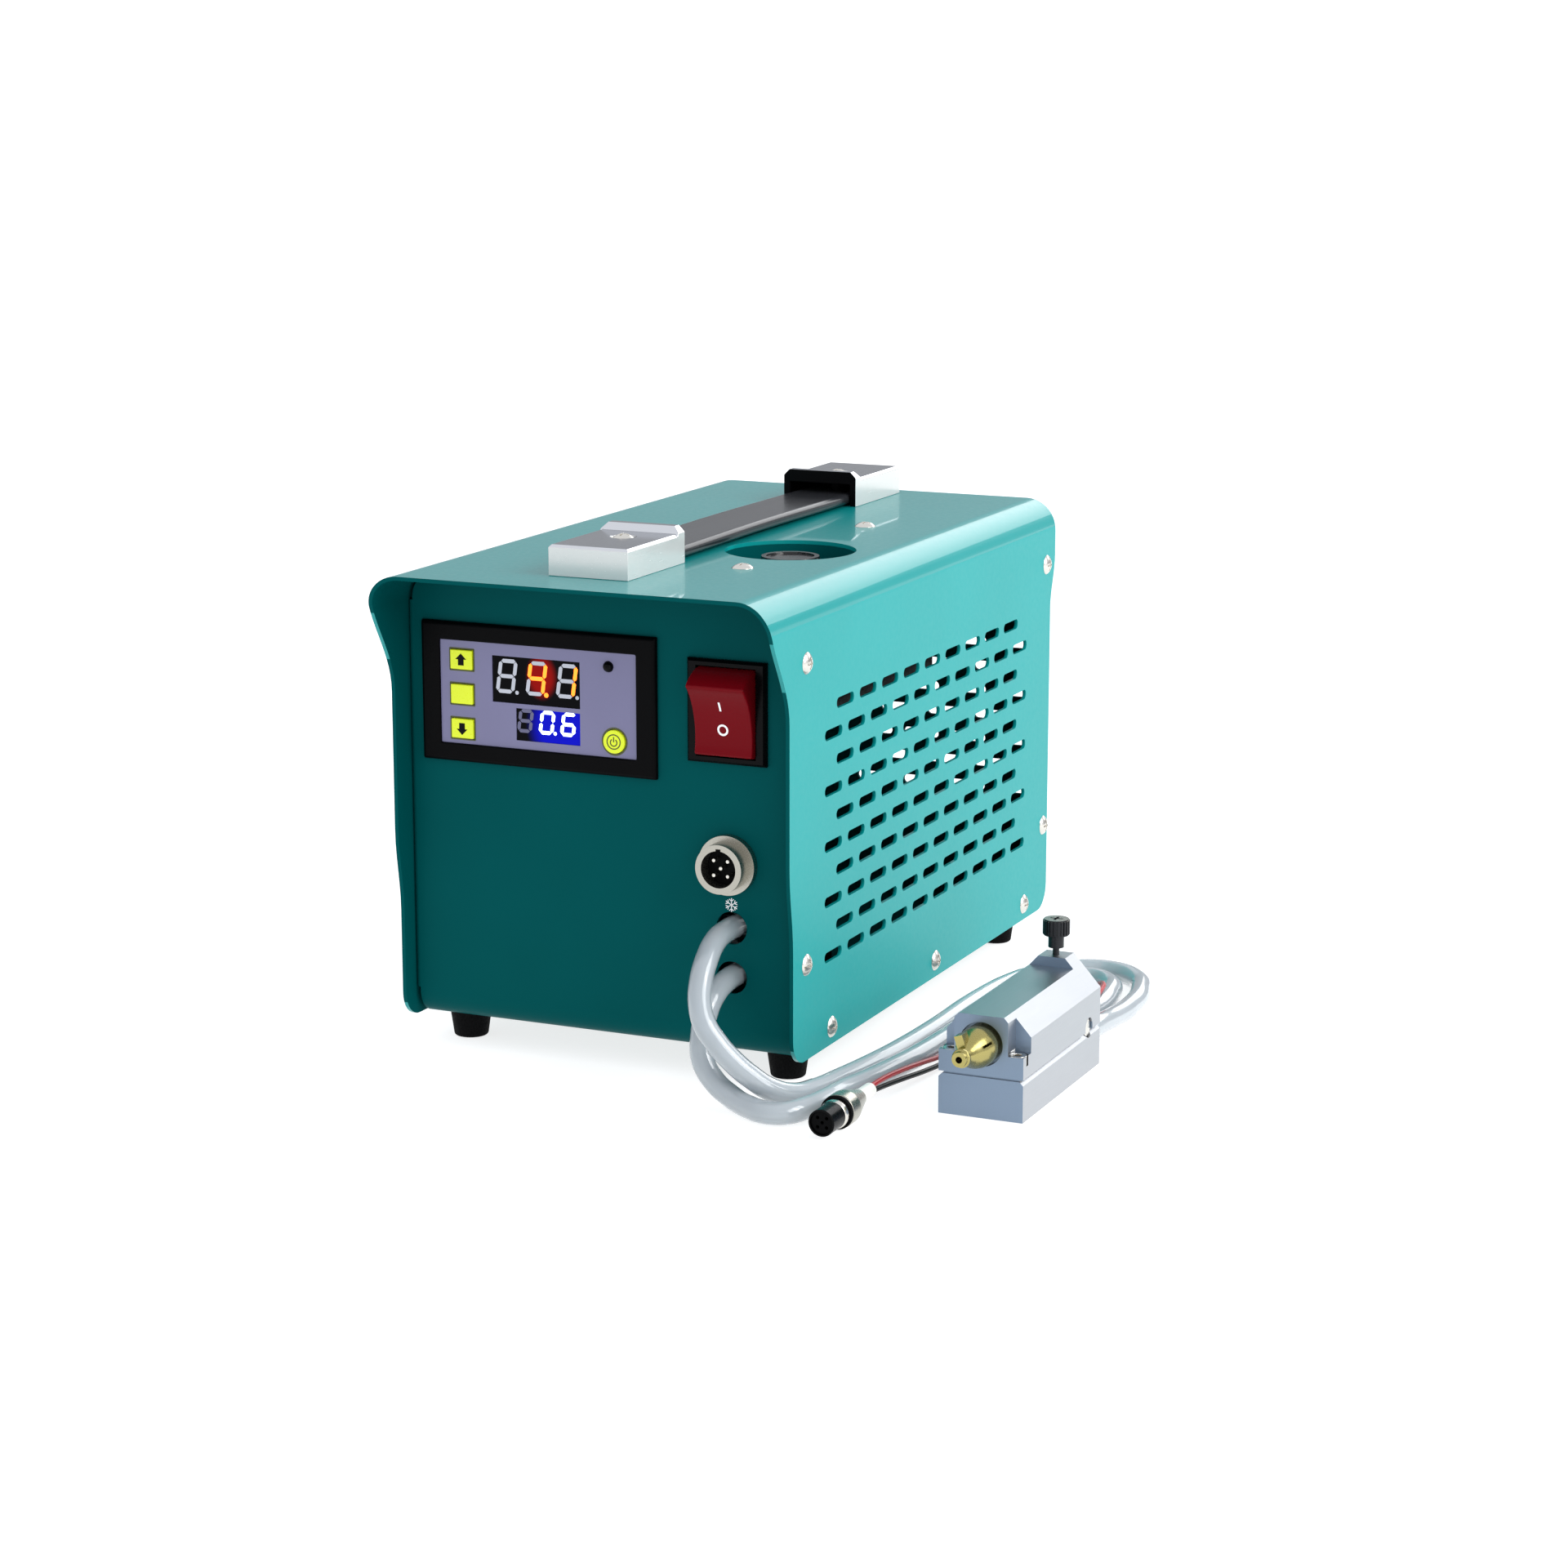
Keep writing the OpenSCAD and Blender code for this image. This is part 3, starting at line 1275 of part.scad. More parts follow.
module peltier_module() {
    plate_t = 0.8;
    color("#E9E7E1") translate([head_x, 10, seam_z - cell_t]) {
        translate([-cell_w / 2, 0, 0]) cube([cell_w, cell_l, plate_t]);
        translate([-cell_w / 2, 0, cell_t - plate_t]) cube([cell_w, cell_l, plate_t]);
        for (i = [0:4], k = [0:9]) {
            translate([-cell_w / 2 + 1 + i * 4, 1 + k * 4, plate_t]) cube([2, 2, cell_t - 2 * plate_t]);
        }
    }
}

module head_end_plate() {
    color("#A7B1BB") translate([head_x, 0, 0]) difference() {
        along_y(block_l, head_l) head_outline(plate_h);
        rod_y(0, bore_z, barrel_r, block_l - cut, head_l + cut);
        translate([0, thumb_y, bore_z]) cylinder(r = thumb_r + run_gap, h = plate_h);
        translate([0, thumb_y, bore_z]) cylinder(r = pad_r + fit_gap, h = barrel_r + pad_l + 0.8);
        for (s = [-1, 1]) {
            rod_y(s * plate_screw_x, plate_screw_z, cap_screw_r + fit_gap, block_l - cut, head_l + cut);
            rod_y(s * plate_screw_x, plate_screw_z, cap_pocket_r, head_l - 3, head_l + cut);
        }
        side_pin_pocket();
    }
}

// The nozzle's outline: distance from the axis against distance in front of the head
nozzle_profile = [[nozzle_bore_r, -nozzle_seat_l], [5.9, -nozzle_seat_l], [5.9, 0], [6.1, 2.5], [6, 4.6],
                  [5.5, nozzle_l - 10.8], [4.6, nozzle_l - 8.5], [3.6, nozzle_l - 6.5],
                  [2.8, nozzle_l - 4.5], [2.4, nozzle_l - 3],
                  [2.8, nozzle_l - 2.6], [2.8, nozzle_l - 1.6], [2.3, nozzle_l - 1.2], [2.2, nozzle_l],
                  [nozzle_bore_r, nozzle_l]];
module nozzle() {
    color("#C2A54A") translate([head_x, 0, bore_z]) rotate([90, 0, 0]) difference() {
        union() {
            rotate_extrude($fn = 64) polygon(nozzle_profile);
            rotate([0, 0, 108]) translate([2, -1.3, nozzle_l - 8]) cube([4.2, 2.6, 4]);
        }
        translate([0, 0, 5]) rotate([0, 0, 25]) translate([-7, -0.4, 0]) cube([14, 0.8, 4]);
        translate([0, 0, -nozzle_seat_l - cut])
            cylinder(r = nozzle_bore_r, h = nozzle_l + nozzle_seat_l + 2 * cut);
    }
}

module head_screws() {
    half = head_w / 2;
    color("#C9CBCE") translate([head_x, 0, 0]) {
        for (s = [-1, 1]) {
            translate([s * (half - 3), 3.2, notch_z - 3]) socket_screw(cap_head_r, 3, cap_screw_r, 10);
            translate([s * plate_screw_x, head_l - 3, plate_screw_z]) rotate([-90, 0, 0])
                socket_screw(cap_head_r, 2.8, cap_screw_r, 11);
            translate([s * (half - 3), side_pin_y, seam_z + 1]) rotate([0, s * 90, 0])
                cylinder(r = cap_head_r, h = 2.4);
        }
    }
}

thumb_seat_z = bore_z + barrel_r + 0.3;
thumb_collar_z = plate_h + thumb_gap;
module thumb_screw() {
    head_z = thumb_collar_z + 3.8;
    head_t = 5.1;
    head_r = 4.15;
    ridges = 24;
    color("#1F2022") translate([head_x, thumb_y, 0]) difference() {
        union() {
            translate([0, 0, thumb_seat_z + pad_l]) cylinder(r = thumb_r, h = head_z - thumb_seat_z - pad_l);
            translate([0, 0, thumb_collar_z]) cylinder(r = 2.4, h = 3.9);
            translate([0, 0, head_z]) cylinder(r = head_r - 0.35, h = head_t);
            for (k = [0:ridges - 1]) {
                rotate([0, 0, 360 * k / ridges]) translate([head_r - 1, -0.3, head_z + 0.4])
                    cube([1, 0.6, head_t - 0.8]);
            }
        }
        for (a = [0, 90]) {
            rotate([0, 0, a]) translate([-2, -0.4, head_z + head_t - 1.2]) cube([4, 0.8, 1.2 + cut]);
        }
    }
}

module clamp_pad() {
    color("#E6E3D8") translate([head_x, thumb_y, thumb_seat_z]) cylinder(r = pad_r, h = pad_l);
}

module hose_barbs() {
    color("#D9DBDD") for (s = [-1, 1]) {
        rod_y(head_x + s * barb_step, barb_z, barb_r, head_l, head_l + barb_l);
        rod_y(head_x + s * barb_step, barb_z, water_r - thread_gap, head_l - 8, head_l + 0.5);
    }
}

module supply_hose() {
    color("#CBD3D6") tube(supply_route, hose_d, 12);
}

module return_hose() {
    color("#CBD3D6") tube(return_route, hose_d, 12);
}

module lead_red() {
    color("#B01A2A") tube(red_route, wire_d, 8);
}

module lead_black() {
    color("#1B1B1D") tube(black_route, wire_d, 8);
}

plug_ring_y = plug_tip_y + nose_l;
plug_shell_y = plug_ring_y + plug_ring_l;
plug_taper_y = plug_shell_y + plug_shell_l;
module plug_shell() {
    tube_wall = 0.55;
    boot_y = plug_taper_y + plug_taper_l;
    color("#C4C6C3") difference() {
        union() {
            rod_y(plug_x, plug_z, nose_r, plug_tip_y, plug_shell_y);
            rod_y(plug_x, plug_z, plug_r, plug_shell_y, plug_taper_y);
            translate([plug_x, plug_taper_y, plug_z]) rotate([-90, 0, 0])
                cylinder(r1 = plug_r, r2 = 2.6, h = plug_taper_l);
            rod_y(plug_x, plug_z, boot_r, boot_y - 1, boot_end_y);
        }
        rod_y(plug_x, plug_z, nose_r - tube_wall, plug_tip_y - cut, plug_tip_y + 7);
    }
}

module plug_ring() {
    color("#18181A") translate([plug_x, plug_ring_y + 0.1, plug_z]) rotate([-90, 0, 0]) difference() {
        cylinder(r = plug_r - 0.1, h = plug_ring_l - 0.2);
        translate([0, 0, -cut]) cylinder(r = nose_r + run_gap, h = plug_ring_l + 2 * cut);
    }
}

module plug_insert() {
    color("#141416") difference() {
        rod_y(plug_x, plug_z, nose_r - 0.6, plug_tip_y + 0.6, plug_tip_y + 6.9);
        for (k = [0:4]) {
            p = pin_place(k);
            rod_y(plug_x + p[0] * 0.62, plug_z + p[1] * 0.62, 0.5, plug_tip_y, plug_tip_y + 5);
        }
    }
}

place() cover_shell();
place() chassis();
place() cover_screws();
place() rubber_feet();
place() foot_screws();
place() handle_cap_front();
place() handle_cap_rear();
place() handle_strap();
place() handle_screws();
place() filler_well();
place() water_tank();
place() tank_lid();
place() cap_gasket();
place() tank_cap();
place() controller_bezel();
place() controller_face();
place() controller_case();
place() controller_board();
place() led_displays();
place() key_up();
place() key_set();
place() key_down();
place() key_power();
place() status_led();
place() rocker_housing();
place() power_rocker();
place() rocker_terminals();
place() socket_shell();
place() socket_nut();
place() socket_insert();
place() socket_pins();
place() pump_body();
place() pump_motor();
place() pump_impeller();
place() inner_hoses();
place() radiator_core();
place() radiator_headers();
place() radiator_stands();
place() fan_frame();
place() fan_rotor();
place() fan_screws();
place() psu_case();
place() psu_board();
place() mains_inlet();
place() head_upper_block();
place() head_lower_block();
place() peltier_module();
place() head_end_plate();
place() nozzle();
place() head_screws();
place() thumb_screw();
place() clamp_pad();
place() hose_barbs();
place() supply_hose();
place() return_hose();
place() lead_red();
place() lead_black();
place() plug_shell();
place() plug_ring();
place() plug_insert();
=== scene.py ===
# %% [markdown]
# A bench glue dispenser, dressed for its picture. The solids arrive already packed, so
# nothing here changes a size: each step gives a piece its real edges, marks and finish.
# A cover of bent sheet stands on four rubber feet, and two soft hoses and a two-wire lead
# join it to a small cooled head that lies beside it.

# %% Load the frame and keep its box
import bpy
import bmesh
import json
import math
from mathutils import Matrix, Vector


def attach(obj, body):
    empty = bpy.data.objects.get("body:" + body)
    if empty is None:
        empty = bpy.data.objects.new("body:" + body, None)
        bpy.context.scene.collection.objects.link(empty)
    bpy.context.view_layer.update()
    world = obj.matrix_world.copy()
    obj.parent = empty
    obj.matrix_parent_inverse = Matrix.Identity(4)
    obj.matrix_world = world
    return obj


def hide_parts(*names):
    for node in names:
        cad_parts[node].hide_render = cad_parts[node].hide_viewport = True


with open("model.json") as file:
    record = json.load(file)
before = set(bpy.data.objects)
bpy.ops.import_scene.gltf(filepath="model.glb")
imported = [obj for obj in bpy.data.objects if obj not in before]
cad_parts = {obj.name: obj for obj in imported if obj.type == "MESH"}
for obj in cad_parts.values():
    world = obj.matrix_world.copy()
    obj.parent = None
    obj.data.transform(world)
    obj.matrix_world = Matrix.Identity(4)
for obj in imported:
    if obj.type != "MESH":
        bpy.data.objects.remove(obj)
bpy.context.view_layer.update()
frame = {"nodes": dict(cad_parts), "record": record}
slots = {part["node"]: part["material_slot"] for part in frame["record"]["subparts"]}
bodies = frame["record"]["behaviour"]["bodies"]
body_of = {node: body for body, nodes in bodies.items() for node in nodes}

# %% [markdown]
# The maker's drawing counts millimetres from the middle of the front panel, on the floor.
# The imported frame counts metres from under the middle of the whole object. One function
# takes a point from the drawing to the frame, so each number below can be read off the
# drawing.

# %% From the drawing to the frame
MM = 0.001
SHIFT = Vector((34.3, 95.5, 0))


def at(x, y, z):
    return (Vector((x, y, z)) - SHIFT) * MM


print("the socket's centre lies at", [round(v, 4) for v in at(42.8, 0, 68)])

# %% [markdown]
# The camera stands where the photographer stood: to the right of the front, a little
# above the top of the cover, and over a metre away. A long lens keeps the upright edges
# nearly parallel. It sees very far, so that the wide floor isn't cut off.

# %% Camera
YAW, PITCH = 24.20, 12.38
SENSOR, LENS = 36, 84.03
NEAREST, FARTHEST = 0.01, 2000
lens = bpy.data.cameras.new("camera")
lens.sensor_width, lens.lens = SENSOR, LENS
lens.clip_start, lens.clip_end = NEAREST, FARTHEST
camera = bpy.data.objects.new("camera", lens)
bpy.context.scene.collection.objects.link(camera)
camera.location = at(488.5, -952.46, 323.03)
camera.rotation_euler = (math.radians(90 - PITCH), 0, math.radians(YAW))
bpy.context.scene.camera = camera
print("lens", LENS, "mm")

# %% [markdown]
# A hose is one soft line of fixed length. Its solid is a tube with straight stretches, so
# a smooth curve through the same points stands for it: it bends as silicone does, and its
# length stays that of the drawing. The bevel is 1, and each knot carries the true radius,
# so that Blender's box round the curve is as thin as the hose.

# %% Routes of the hoses and the lead
HOSE, WIRE = 7.0, 1.6
HEAD_X, BARB_END = 122.95, 69.5
RUN_STEPS, ROUND_STEPS = 10, 6
supply_points = [
    (43.4, 6, 48.5), (43.4, -4, 48.5), (43.8, -12, 47.6), (44.5, -19.5, 44), (45.2, -25, 38.8),
    (46.2, -28, 32.8), (48.2, -29, 27.2), (51.8, -28.8, 22), (56, -27.6, 17), (60.8, -25, 11.9),
    (65.3, -21.4, 7.6), (69.8, -14.8, 4.6), (72.8, -5, 3.7), (75.4, 8, 3.7), (77.6, 22, 3.7),
    (79.6, 40, 3.7), (80.9, 66, 3.7), (81.2, 104, 3.7), (83.5, 126, 3.7), (88.5, 142, 3.7),
    (97, 152.5, 3.7), (109, 156, 3.7), (120, 149, 3.7), (126, 135, 3.7), (128.4, 117, 3.7),
    (128.9, 98, 5), (HEAD_X + 6, 81, 6.5), (HEAD_X + 6, BARB_END, 6.5)]
return_points = [
    (43.4, 6, 33.3), (43.4, -4, 33.3), (43, -11, 31), (42.9, -16.5, 26.8), (43, -20, 20.5),
    (44.4, -22.4, 14), (48.6, -23.6, 8.6), (54.8, -25.4, 5.2), (62, -28.8, 3.8),
    (68.8, -31.2, 3.7), (74, -29.4, 3.7), (77.6, -22.6, 3.7), (79.6, -12.6, 3.7),
    (80.6, -3, 3.7), (83, 8, 3.7), (85.2, 22, 3.7), (87.2, 40, 3.7), (88.4, 66, 3.7),
    (89, 104, 3.7), (91, 123, 3.7), (95.5, 136.5, 3.7), (105, 145.5, 3.7), (113.5, 140.5, 3.7),
    (118, 127, 3.7), (119, 109, 3.7), (117.7, 94, 5), (HEAD_X - 6, 80, 6.5),
    (HEAD_X - 6, BARB_END, 6.5)]
red_points = [
    (89.3, -2.25, 5.96), (89.6, 6, 6), (90.3, 18, 5.3), (91.3, 31, 4.1), (92.3, 45, 2.6),
    (93, 62, 1.4), (94, 97, 0.95), (96.6, 114, 0.95), (103, 125, 2), (111.4, 128, 5.6),
    (118, 120.5, 9.6), (122.2, 106, 11), (HEAD_X + 1.1, 88, 11.7), (HEAD_X + 1.1, 66.6, 11.7)]
black_points = [
    (89.3, -2.25, 4.34), (89.9, 6, 3.8), (91.4, 18, 3), (93.1, 31, 2), (94.5, 45, 1.3),
    (95.3, 62, 0.95), (96.3, 96.6, 0.95), (98.8, 112, 0.95), (104.2, 121.6, 2), (110.8, 124.2, 5.6),
    (115.8, 117.6, 9.6), (119.4, 105, 11), (HEAD_X - 1.1, 88, 11.7), (HEAD_X - 1.1, 66.6, 11.7)]


def run_length(points):
    return sum((Vector(b) - Vector(a)).length for a, b in zip(points, points[1:]))


def soft_line(name, points, diameter, node):
    curve = bpy.data.curves.new(name, "CURVE")
    curve.dimensions, curve.resolution_u = "3D", RUN_STEPS
    curve.bevel_depth, curve.bevel_resolution, curve.use_fill_caps = 1.0, ROUND_STEPS, True
    spline = curve.splines.new("BEZIER")
    spline.bezier_points.add(len(points) - 1)
    for knot, point in zip(spline.bezier_points, points):
        knot.co, knot.radius = at(*point), diameter / 2 * MM
        knot.handle_left_type = knot.handle_right_type = "AUTO"
    line = bpy.data.objects.new(name, curve)
    bpy.context.scene.collection.objects.link(line)
    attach(line, "root")
    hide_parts(node)
    return line


supply_hose = soft_line("supply_hose_line", supply_points, HOSE, "supply_hose")
return_hose = soft_line("return_hose_line", return_points, HOSE, "return_hose")
red_wire = soft_line("red_wire_line", red_points, WIRE, "lead_red")
black_wire = soft_line("black_wire_line", black_points, WIRE, "lead_black")
print("hoses", round(run_length(supply_points)), "and", round(run_length(return_points)),
      "mm, lead", round(run_length(red_points)), "mm")

# %% [markdown]
# A material is a small tree of nodes. One function adds a node, sets its options and
# fills its sockets: a value is set, and another node's output is linked. Colours are
# written as the hex codes that a paint card gives, and one function turns them to the
# linear light that the renderer works in.

# %% Colour and node helpers
def linear(code):
    parts = [int(code[i:i + 2], 16) / 255 for i in (1, 3, 5)]
    return tuple(c / 12.92 if c <= 0.04045 else ((c + 0.055) / 1.055) ** 2.4 for c in parts) + (1,)


def add_node(tree, kind, settings=None, sockets=None):
    node = tree.nodes.new(kind)
    for name, value in (settings or {}).items():
        setattr(node, name, value)
    for name, value in (sockets or {}).items():
        if isinstance(value, bpy.types.NodeSocket):
            tree.links.new(value, node.inputs[name])
        else:
            node.inputs[name].default_value = value
    return node


def bare_material(name, sockets):
    material = bpy.data.materials.new(name)
    material.use_nodes = True
    tree = material.node_tree
    shader = tree.nodes["Principled BSDF"]
    for socket, value in sockets.items():
        shader.inputs[socket].default_value = value
    return material, tree, shader


print("paint card teal in linear light:", [round(c, 3) for c in linear("#4FBDB6")[:3]])

# %% [markdown]
# No real surface is one flat colour. Every finish here has three things: a grain whose
# size comes from the process (orange peel of baked powder, spark texture of a mould,
# cutter marks), a little unevenness in gloss, and a faint drift of tone. Grain is given in
# millimetres, and stretched along one direction where a tool or roller ran that way. A low
# specular value keeps a dark surface dark, as matt black is in a bright studio.

# %% A finish with grain
DRIFT = 40
LOW, HIGH = 0.3, 0.7


def finish(name, code, roughness, grain, depth, stretch=(1, 1, 1), tone=0.06, gloss=0.25,
           specular=0.5, **sockets):
    material, tree, shader = bare_material(name, {
        "Roughness": roughness, "Specular IOR Level": specular, **sockets})
    place = add_node(tree, "ShaderNodeTexCoord").outputs["Object"]
    run = add_node(tree, "ShaderNodeMapping", sockets={"Vector": place, "Scale": stretch})
    fine = add_node(tree, "ShaderNodeTexNoise", sockets={
        "Vector": run.outputs["Vector"], "Scale": 1 / (grain * MM), "Detail": 3.0})
    broad = add_node(tree, "ShaderNodeTexNoise", sockets={
        "Vector": place, "Scale": 1 / (DRIFT * MM), "Detail": 2.0})
    bump = add_node(tree, "ShaderNodeBump", sockets={
        "Height": fine.outputs["Fac"], "Distance": depth * MM, "Strength": 1.0})
    tree.links.new(bump.outputs["Normal"], shader.inputs["Normal"])
    tint = add_node(tree, "ShaderNodeValToRGB", sockets={"Fac": broad.outputs["Fac"]})
    for stop, place_on_ramp, factor in ((0, LOW, 1 - tone), (1, HIGH, 1 + tone)):
        tint.color_ramp.elements[stop].position = place_on_ramp
        shade = tuple(min(c * factor, 1) for c in linear(code)[:3])
        tint.color_ramp.elements[stop].color = shade + (1,)
    tree.links.new(tint.outputs["Color"], shader.inputs["Base Color"])
    dull = add_node(tree, "ShaderNodeMapRange", sockets={
        "Value": fine.outputs["Fac"], "From Min": LOW, "From Max": HIGH,
        "To Min": roughness * (1 - gloss), "To Max": roughness * (1 + gloss)})
    tree.links.new(dull.outputs["Result"], shader.inputs["Roughness"])
    return material


print("the tone drifts over some", DRIFT, "mm")

# %% [markdown]
# The hoses are extruded translucent silicone: milky, soft at the edges, with a bright rim
# where light runs round the wall. Light that passes and scatters inside does most of that,
# and a clear gloss does the rest. The wires wear soft PVC, a little greasy in its shine.

# %% Silicone and PVC
silicone = finish("silicone_extruded_translucent", "#B3BBC0", 0.16, 3.0, 0.01,
                  stretch=(1, 0.1, 1), tone=0.03,
                  **{"IOR": 1.41, "Subsurface Weight": 0.3, "Subsurface Scale": 0.003,
                     "Subsurface Radius": (0.9, 1.0, 1.1), "Transmission Weight": 0.3,
                     "Coat Weight": 1.0, "Coat Roughness": 0.02})
pvc_red = finish("pvc_insulation_red", "#A80F1C", 0.34, 0.6, 0.01, IOR=1.53)
pvc_black = finish("pvc_insulation_black", "#060607", 0.34, 0.6, 0.01, specular=0.2, IOR=1.53)
for line, material in ((supply_hose, silicone), (return_hose, silicone),
                       (red_wire, pvc_red), (black_wire, pvc_black)):
    line.data.materials.append(material)
print("cord finishes:", silicone.name, pvc_red.name, pvc_black.name)

# %% [markdown]
# Painted sheet steel: powder is sprayed on dry and baked, so it flows into a skin with a
# soft orange peel, about 1.6 mm from crest to crest and less than a micron deep. The top
# is the glossiest, since the powder lies flat there while it bakes. The upright sides are
# more silky and a shade lighter: painted light, where the sun falls on them. The panel
# gets the same teal much darker and duller: painted shade, for faces turned from the light.

# %% Powder coats
powder_teal = finish("powder_coat_teal_gloss", "#068A89", 0.3, 1.6, 0.0003, tone=0.02,
                     gloss=0.08, specular=0.15, IOR=1.5,
                     **{"Coat Weight": 0.45, "Coat Roughness": 0.04})
# The sides' copy of the teal is a shade lighter: painted light.
powder_side_lit = finish("powder_coat_teal_silk_painted_light", "#049190", 0.36, 1.6, 0.0003, tone=0.02,
                     gloss=0.08, specular=0.2, IOR=1.5)
# Painted shade: the same teal, darker and duller, for faces turned from the light.
powder_teal_shaded = finish("powder_coat_teal_painted_shade", "#004B4C", 0.36, 1.6, 0.0006, tone=0.03,
                     gloss=0.08, specular=0.02, IOR=1.5)
print("powder coats:", powder_teal.name, powder_side_lit.name, powder_teal_shaded.name)

# %% [markdown]
# Moulded plastics differ in the mould more than in the plastic. ABS and polycarbonate from
# a spark-eroded mould are finely grained and satin, from a polished mould they are glossy.
# Nylon and polypropylene are slightly waxy. Printed ink is thin and even. The strap is
# extruded, so its faint lines run along it.

# %% Plastics and inks
abs_black = finish("abs_moulded_black", "#030304", 0.45, 0.35, 0.003, specular=0.05, IOR=1.53)
abs_satin_black = finish("abs_turned_black", "#0B0A0D", 0.2, 0.5, 0.0006, IOR=1.53)
abs_gloss_black = finish("abs_polished_black", "#030304", 0.25, 0.8, 0.002, specular=0.08,
                         IOR=1.53)
abs_yellow = finish("abs_moulded_yellow", "#DCEB10", 0.32, 0.5, 0.004, tone=0.03, IOR=1.53)
polycarbonate_red = finish("polycarbonate_moulded_red", "#6A040F", 0.16, 1.2, 0.0006,
                           tone=0.04, specular=0.06, IOR=1.585)
polyester_lilac = finish("polyester_film_printed_lilac", "#6E6C8F", 0.4, 0.3, 0.002,
                         tone=0.04, IOR=1.57)
nylon_white = finish("nylon_moulded_white", "#E9E8E2", 0.4, 0.5, 0.005, IOR=1.53)
polypropylene = finish("polypropylene_moulded_black", "#060708", 0.36, 0.9, 0.006,
                       specular=0.1, IOR=1.49)
vinyl_strap = finish("pvc_strap_extruded_grey", "#252629", 0.24, 0.5, 0.0004,
                     stretch=(1, 0.12, 1), gloss=0.05, specular=0.35, IOR=1.53)
glass_epoxy = finish("glass_epoxy_laminated_green", "#2C6B3F", 0.35, 0.8, 0.01, IOR=1.52)
ink_white = finish("screen_ink_white_printed", "#F1F3F4", 0.45, 0.2, 0.002, IOR=1.5)
ink_black = finish("screen_ink_black_printed", "#040405", 0.4, 0.2, 0.002, specular=0.1, IOR=1.5)
# The olive ink prints the power sign, and also paints the shade in the gaps round the keys.
olive_print_and_gap_shade = finish("screen_ink_olive_print_and_painted_shade", "#454A0C", 0.4, 0.2, 0.002, IOR=1.5)
print("plastics from", abs_black.name, "to", glass_epoxy.name)

# %% [markdown]
# The last finishes that aren't metal to the eye. Rubber is the dullest of them. The
# radiator is aluminium under a thin black paint, and the cooling cell is fired alumina,
# which bends light more than any plastic does.

# %% Rubber, paint and ceramic
rubber_black = finish("natural_rubber_moulded_black", "#030304", 0.7, 0.45, 0.008,
                      specular=0.08, IOR=1.52)
rubber_red = finish("silicone_rubber_moulded_red", "#B8402A", 0.5, 0.4, 0.006, IOR=1.41)
radiator_paint = finish("aluminium_painted_black", "#2B2D31", 0.5, 0.8, 0.01, IOR=1.5)
ceramic = finish("alumina_fired_white", "#E9E7E1", 0.4, 0.3, 0.004, IOR=1.76)
print("rubber, paint and ceramic:", rubber_black.name, radiator_paint.name, ceramic.name)

# %% [markdown]
# Metals reflect their surroundings, so their colour is the tint of the reflection. Plated
# pieces are mirror smooth, a milled and anodised block is fine satin with cutter lines
# along its length, turned brass keeps rings round its axis, and zinc plating is dull.

# %% Metals
chrome = finish("chrome_plated_polished", "#D8D9DC", 0.05, 6.0, 0.0004, tone=0.01, gloss=0.3,
                Metallic=1.0)
# Two copies of this chrome serve the caps: a darker, duller one for their tops, a painted dark
# reflection, and a pale, half matt one for their flanks and ends, painted light.
chrome_top_painted_dark = finish("chrome_plated_painted_dark_top", "#9A9DA2", 0.16, 0.8, 0.0004,
                    stretch=(1, 0.1, 1), tone=0.02, Metallic=1.0)
chrome_flank_painted_pale = finish("chrome_plated_brushed_painted_pale", "#D9D9D7", 0.22, 0.8, 0.0004,
                      stretch=(1, 0.1, 1), tone=0.02, Metallic=0.35)
nickel = finish("nickel_plated_turned", "#DAD6CE", 0.22, 0.5, 0.001, tone=0.03, Metallic=1.0)
nickel_satin = finish("nickel_plated_blasted", "#ACA99F", 0.28, 0.3, 0.002, tone=0.04,
                      Metallic=1.0)
anodised = finish("aluminium_milled_clear_anodised", "#AEB1B5", 0.34, 0.6, 0.0004,
                  stretch=(1, 0.05, 1), tone=0.02, gloss=0.06, Metallic=1.0)
# A darker, bluer copy of the anodising: painted shade for faces turned to the front.
anodised_painted_shade = finish("aluminium_clear_anodised_painted_shade", "#7D8DA0", 0.42, 0.4, 0.0006,
                      tone=0.03, gloss=0.06, Metallic=1.0)
brass = finish("brass_turned_bright", "#A99E62", 0.24, 0.5, 0.001, stretch=(1, 4, 1),
               tone=0.05, Metallic=1.0)
brass_stamped = finish("brass_stamped_contacts", "#CBA75A", 0.28, 0.5, 0.003, Metallic=1.0)
steel_black = finish("steel_black_oxide_turned", "#232427", 0.34, 0.4, 0.006, Metallic=0.6)
steel_zinc = finish("steel_sheet_zinc_plated", "#A9ACB0", 0.38, 3.0, 0.01, tone=0.08,
                    Metallic=1.0)
steel_can = finish("steel_can_drawn", "#8E9196", 0.3, 0.8, 0.004, stretch=(1, 1, 0.1),
                   Metallic=1.0)
print("metals from", chrome.name, "to", steel_can.name)

# %% [markdown]
# A bent sheet, a moulded cap or a milled block never ends in a razor edge. Each visible
# solid is copied, its triangles are joined back into flat faces, and a fine round is put on
# every edge, so that corners catch light as real ones do. The solid itself isn't touched.
# Corners within two microns are one corner, and faces within 0.6 degrees are one face.

# %% Pieces with rounded edges
JOIN, FLAT, SHARP = 0.002, 0.6, 32


def add_piece(name, mesh, body, material):
    piece = bpy.data.objects.new(name, mesh)
    bpy.context.scene.collection.objects.link(piece)
    for finish_of_piece in material if isinstance(material, (list, tuple)) else [material]:
        mesh.materials.append(finish_of_piece)
    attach(piece, body)
    return piece


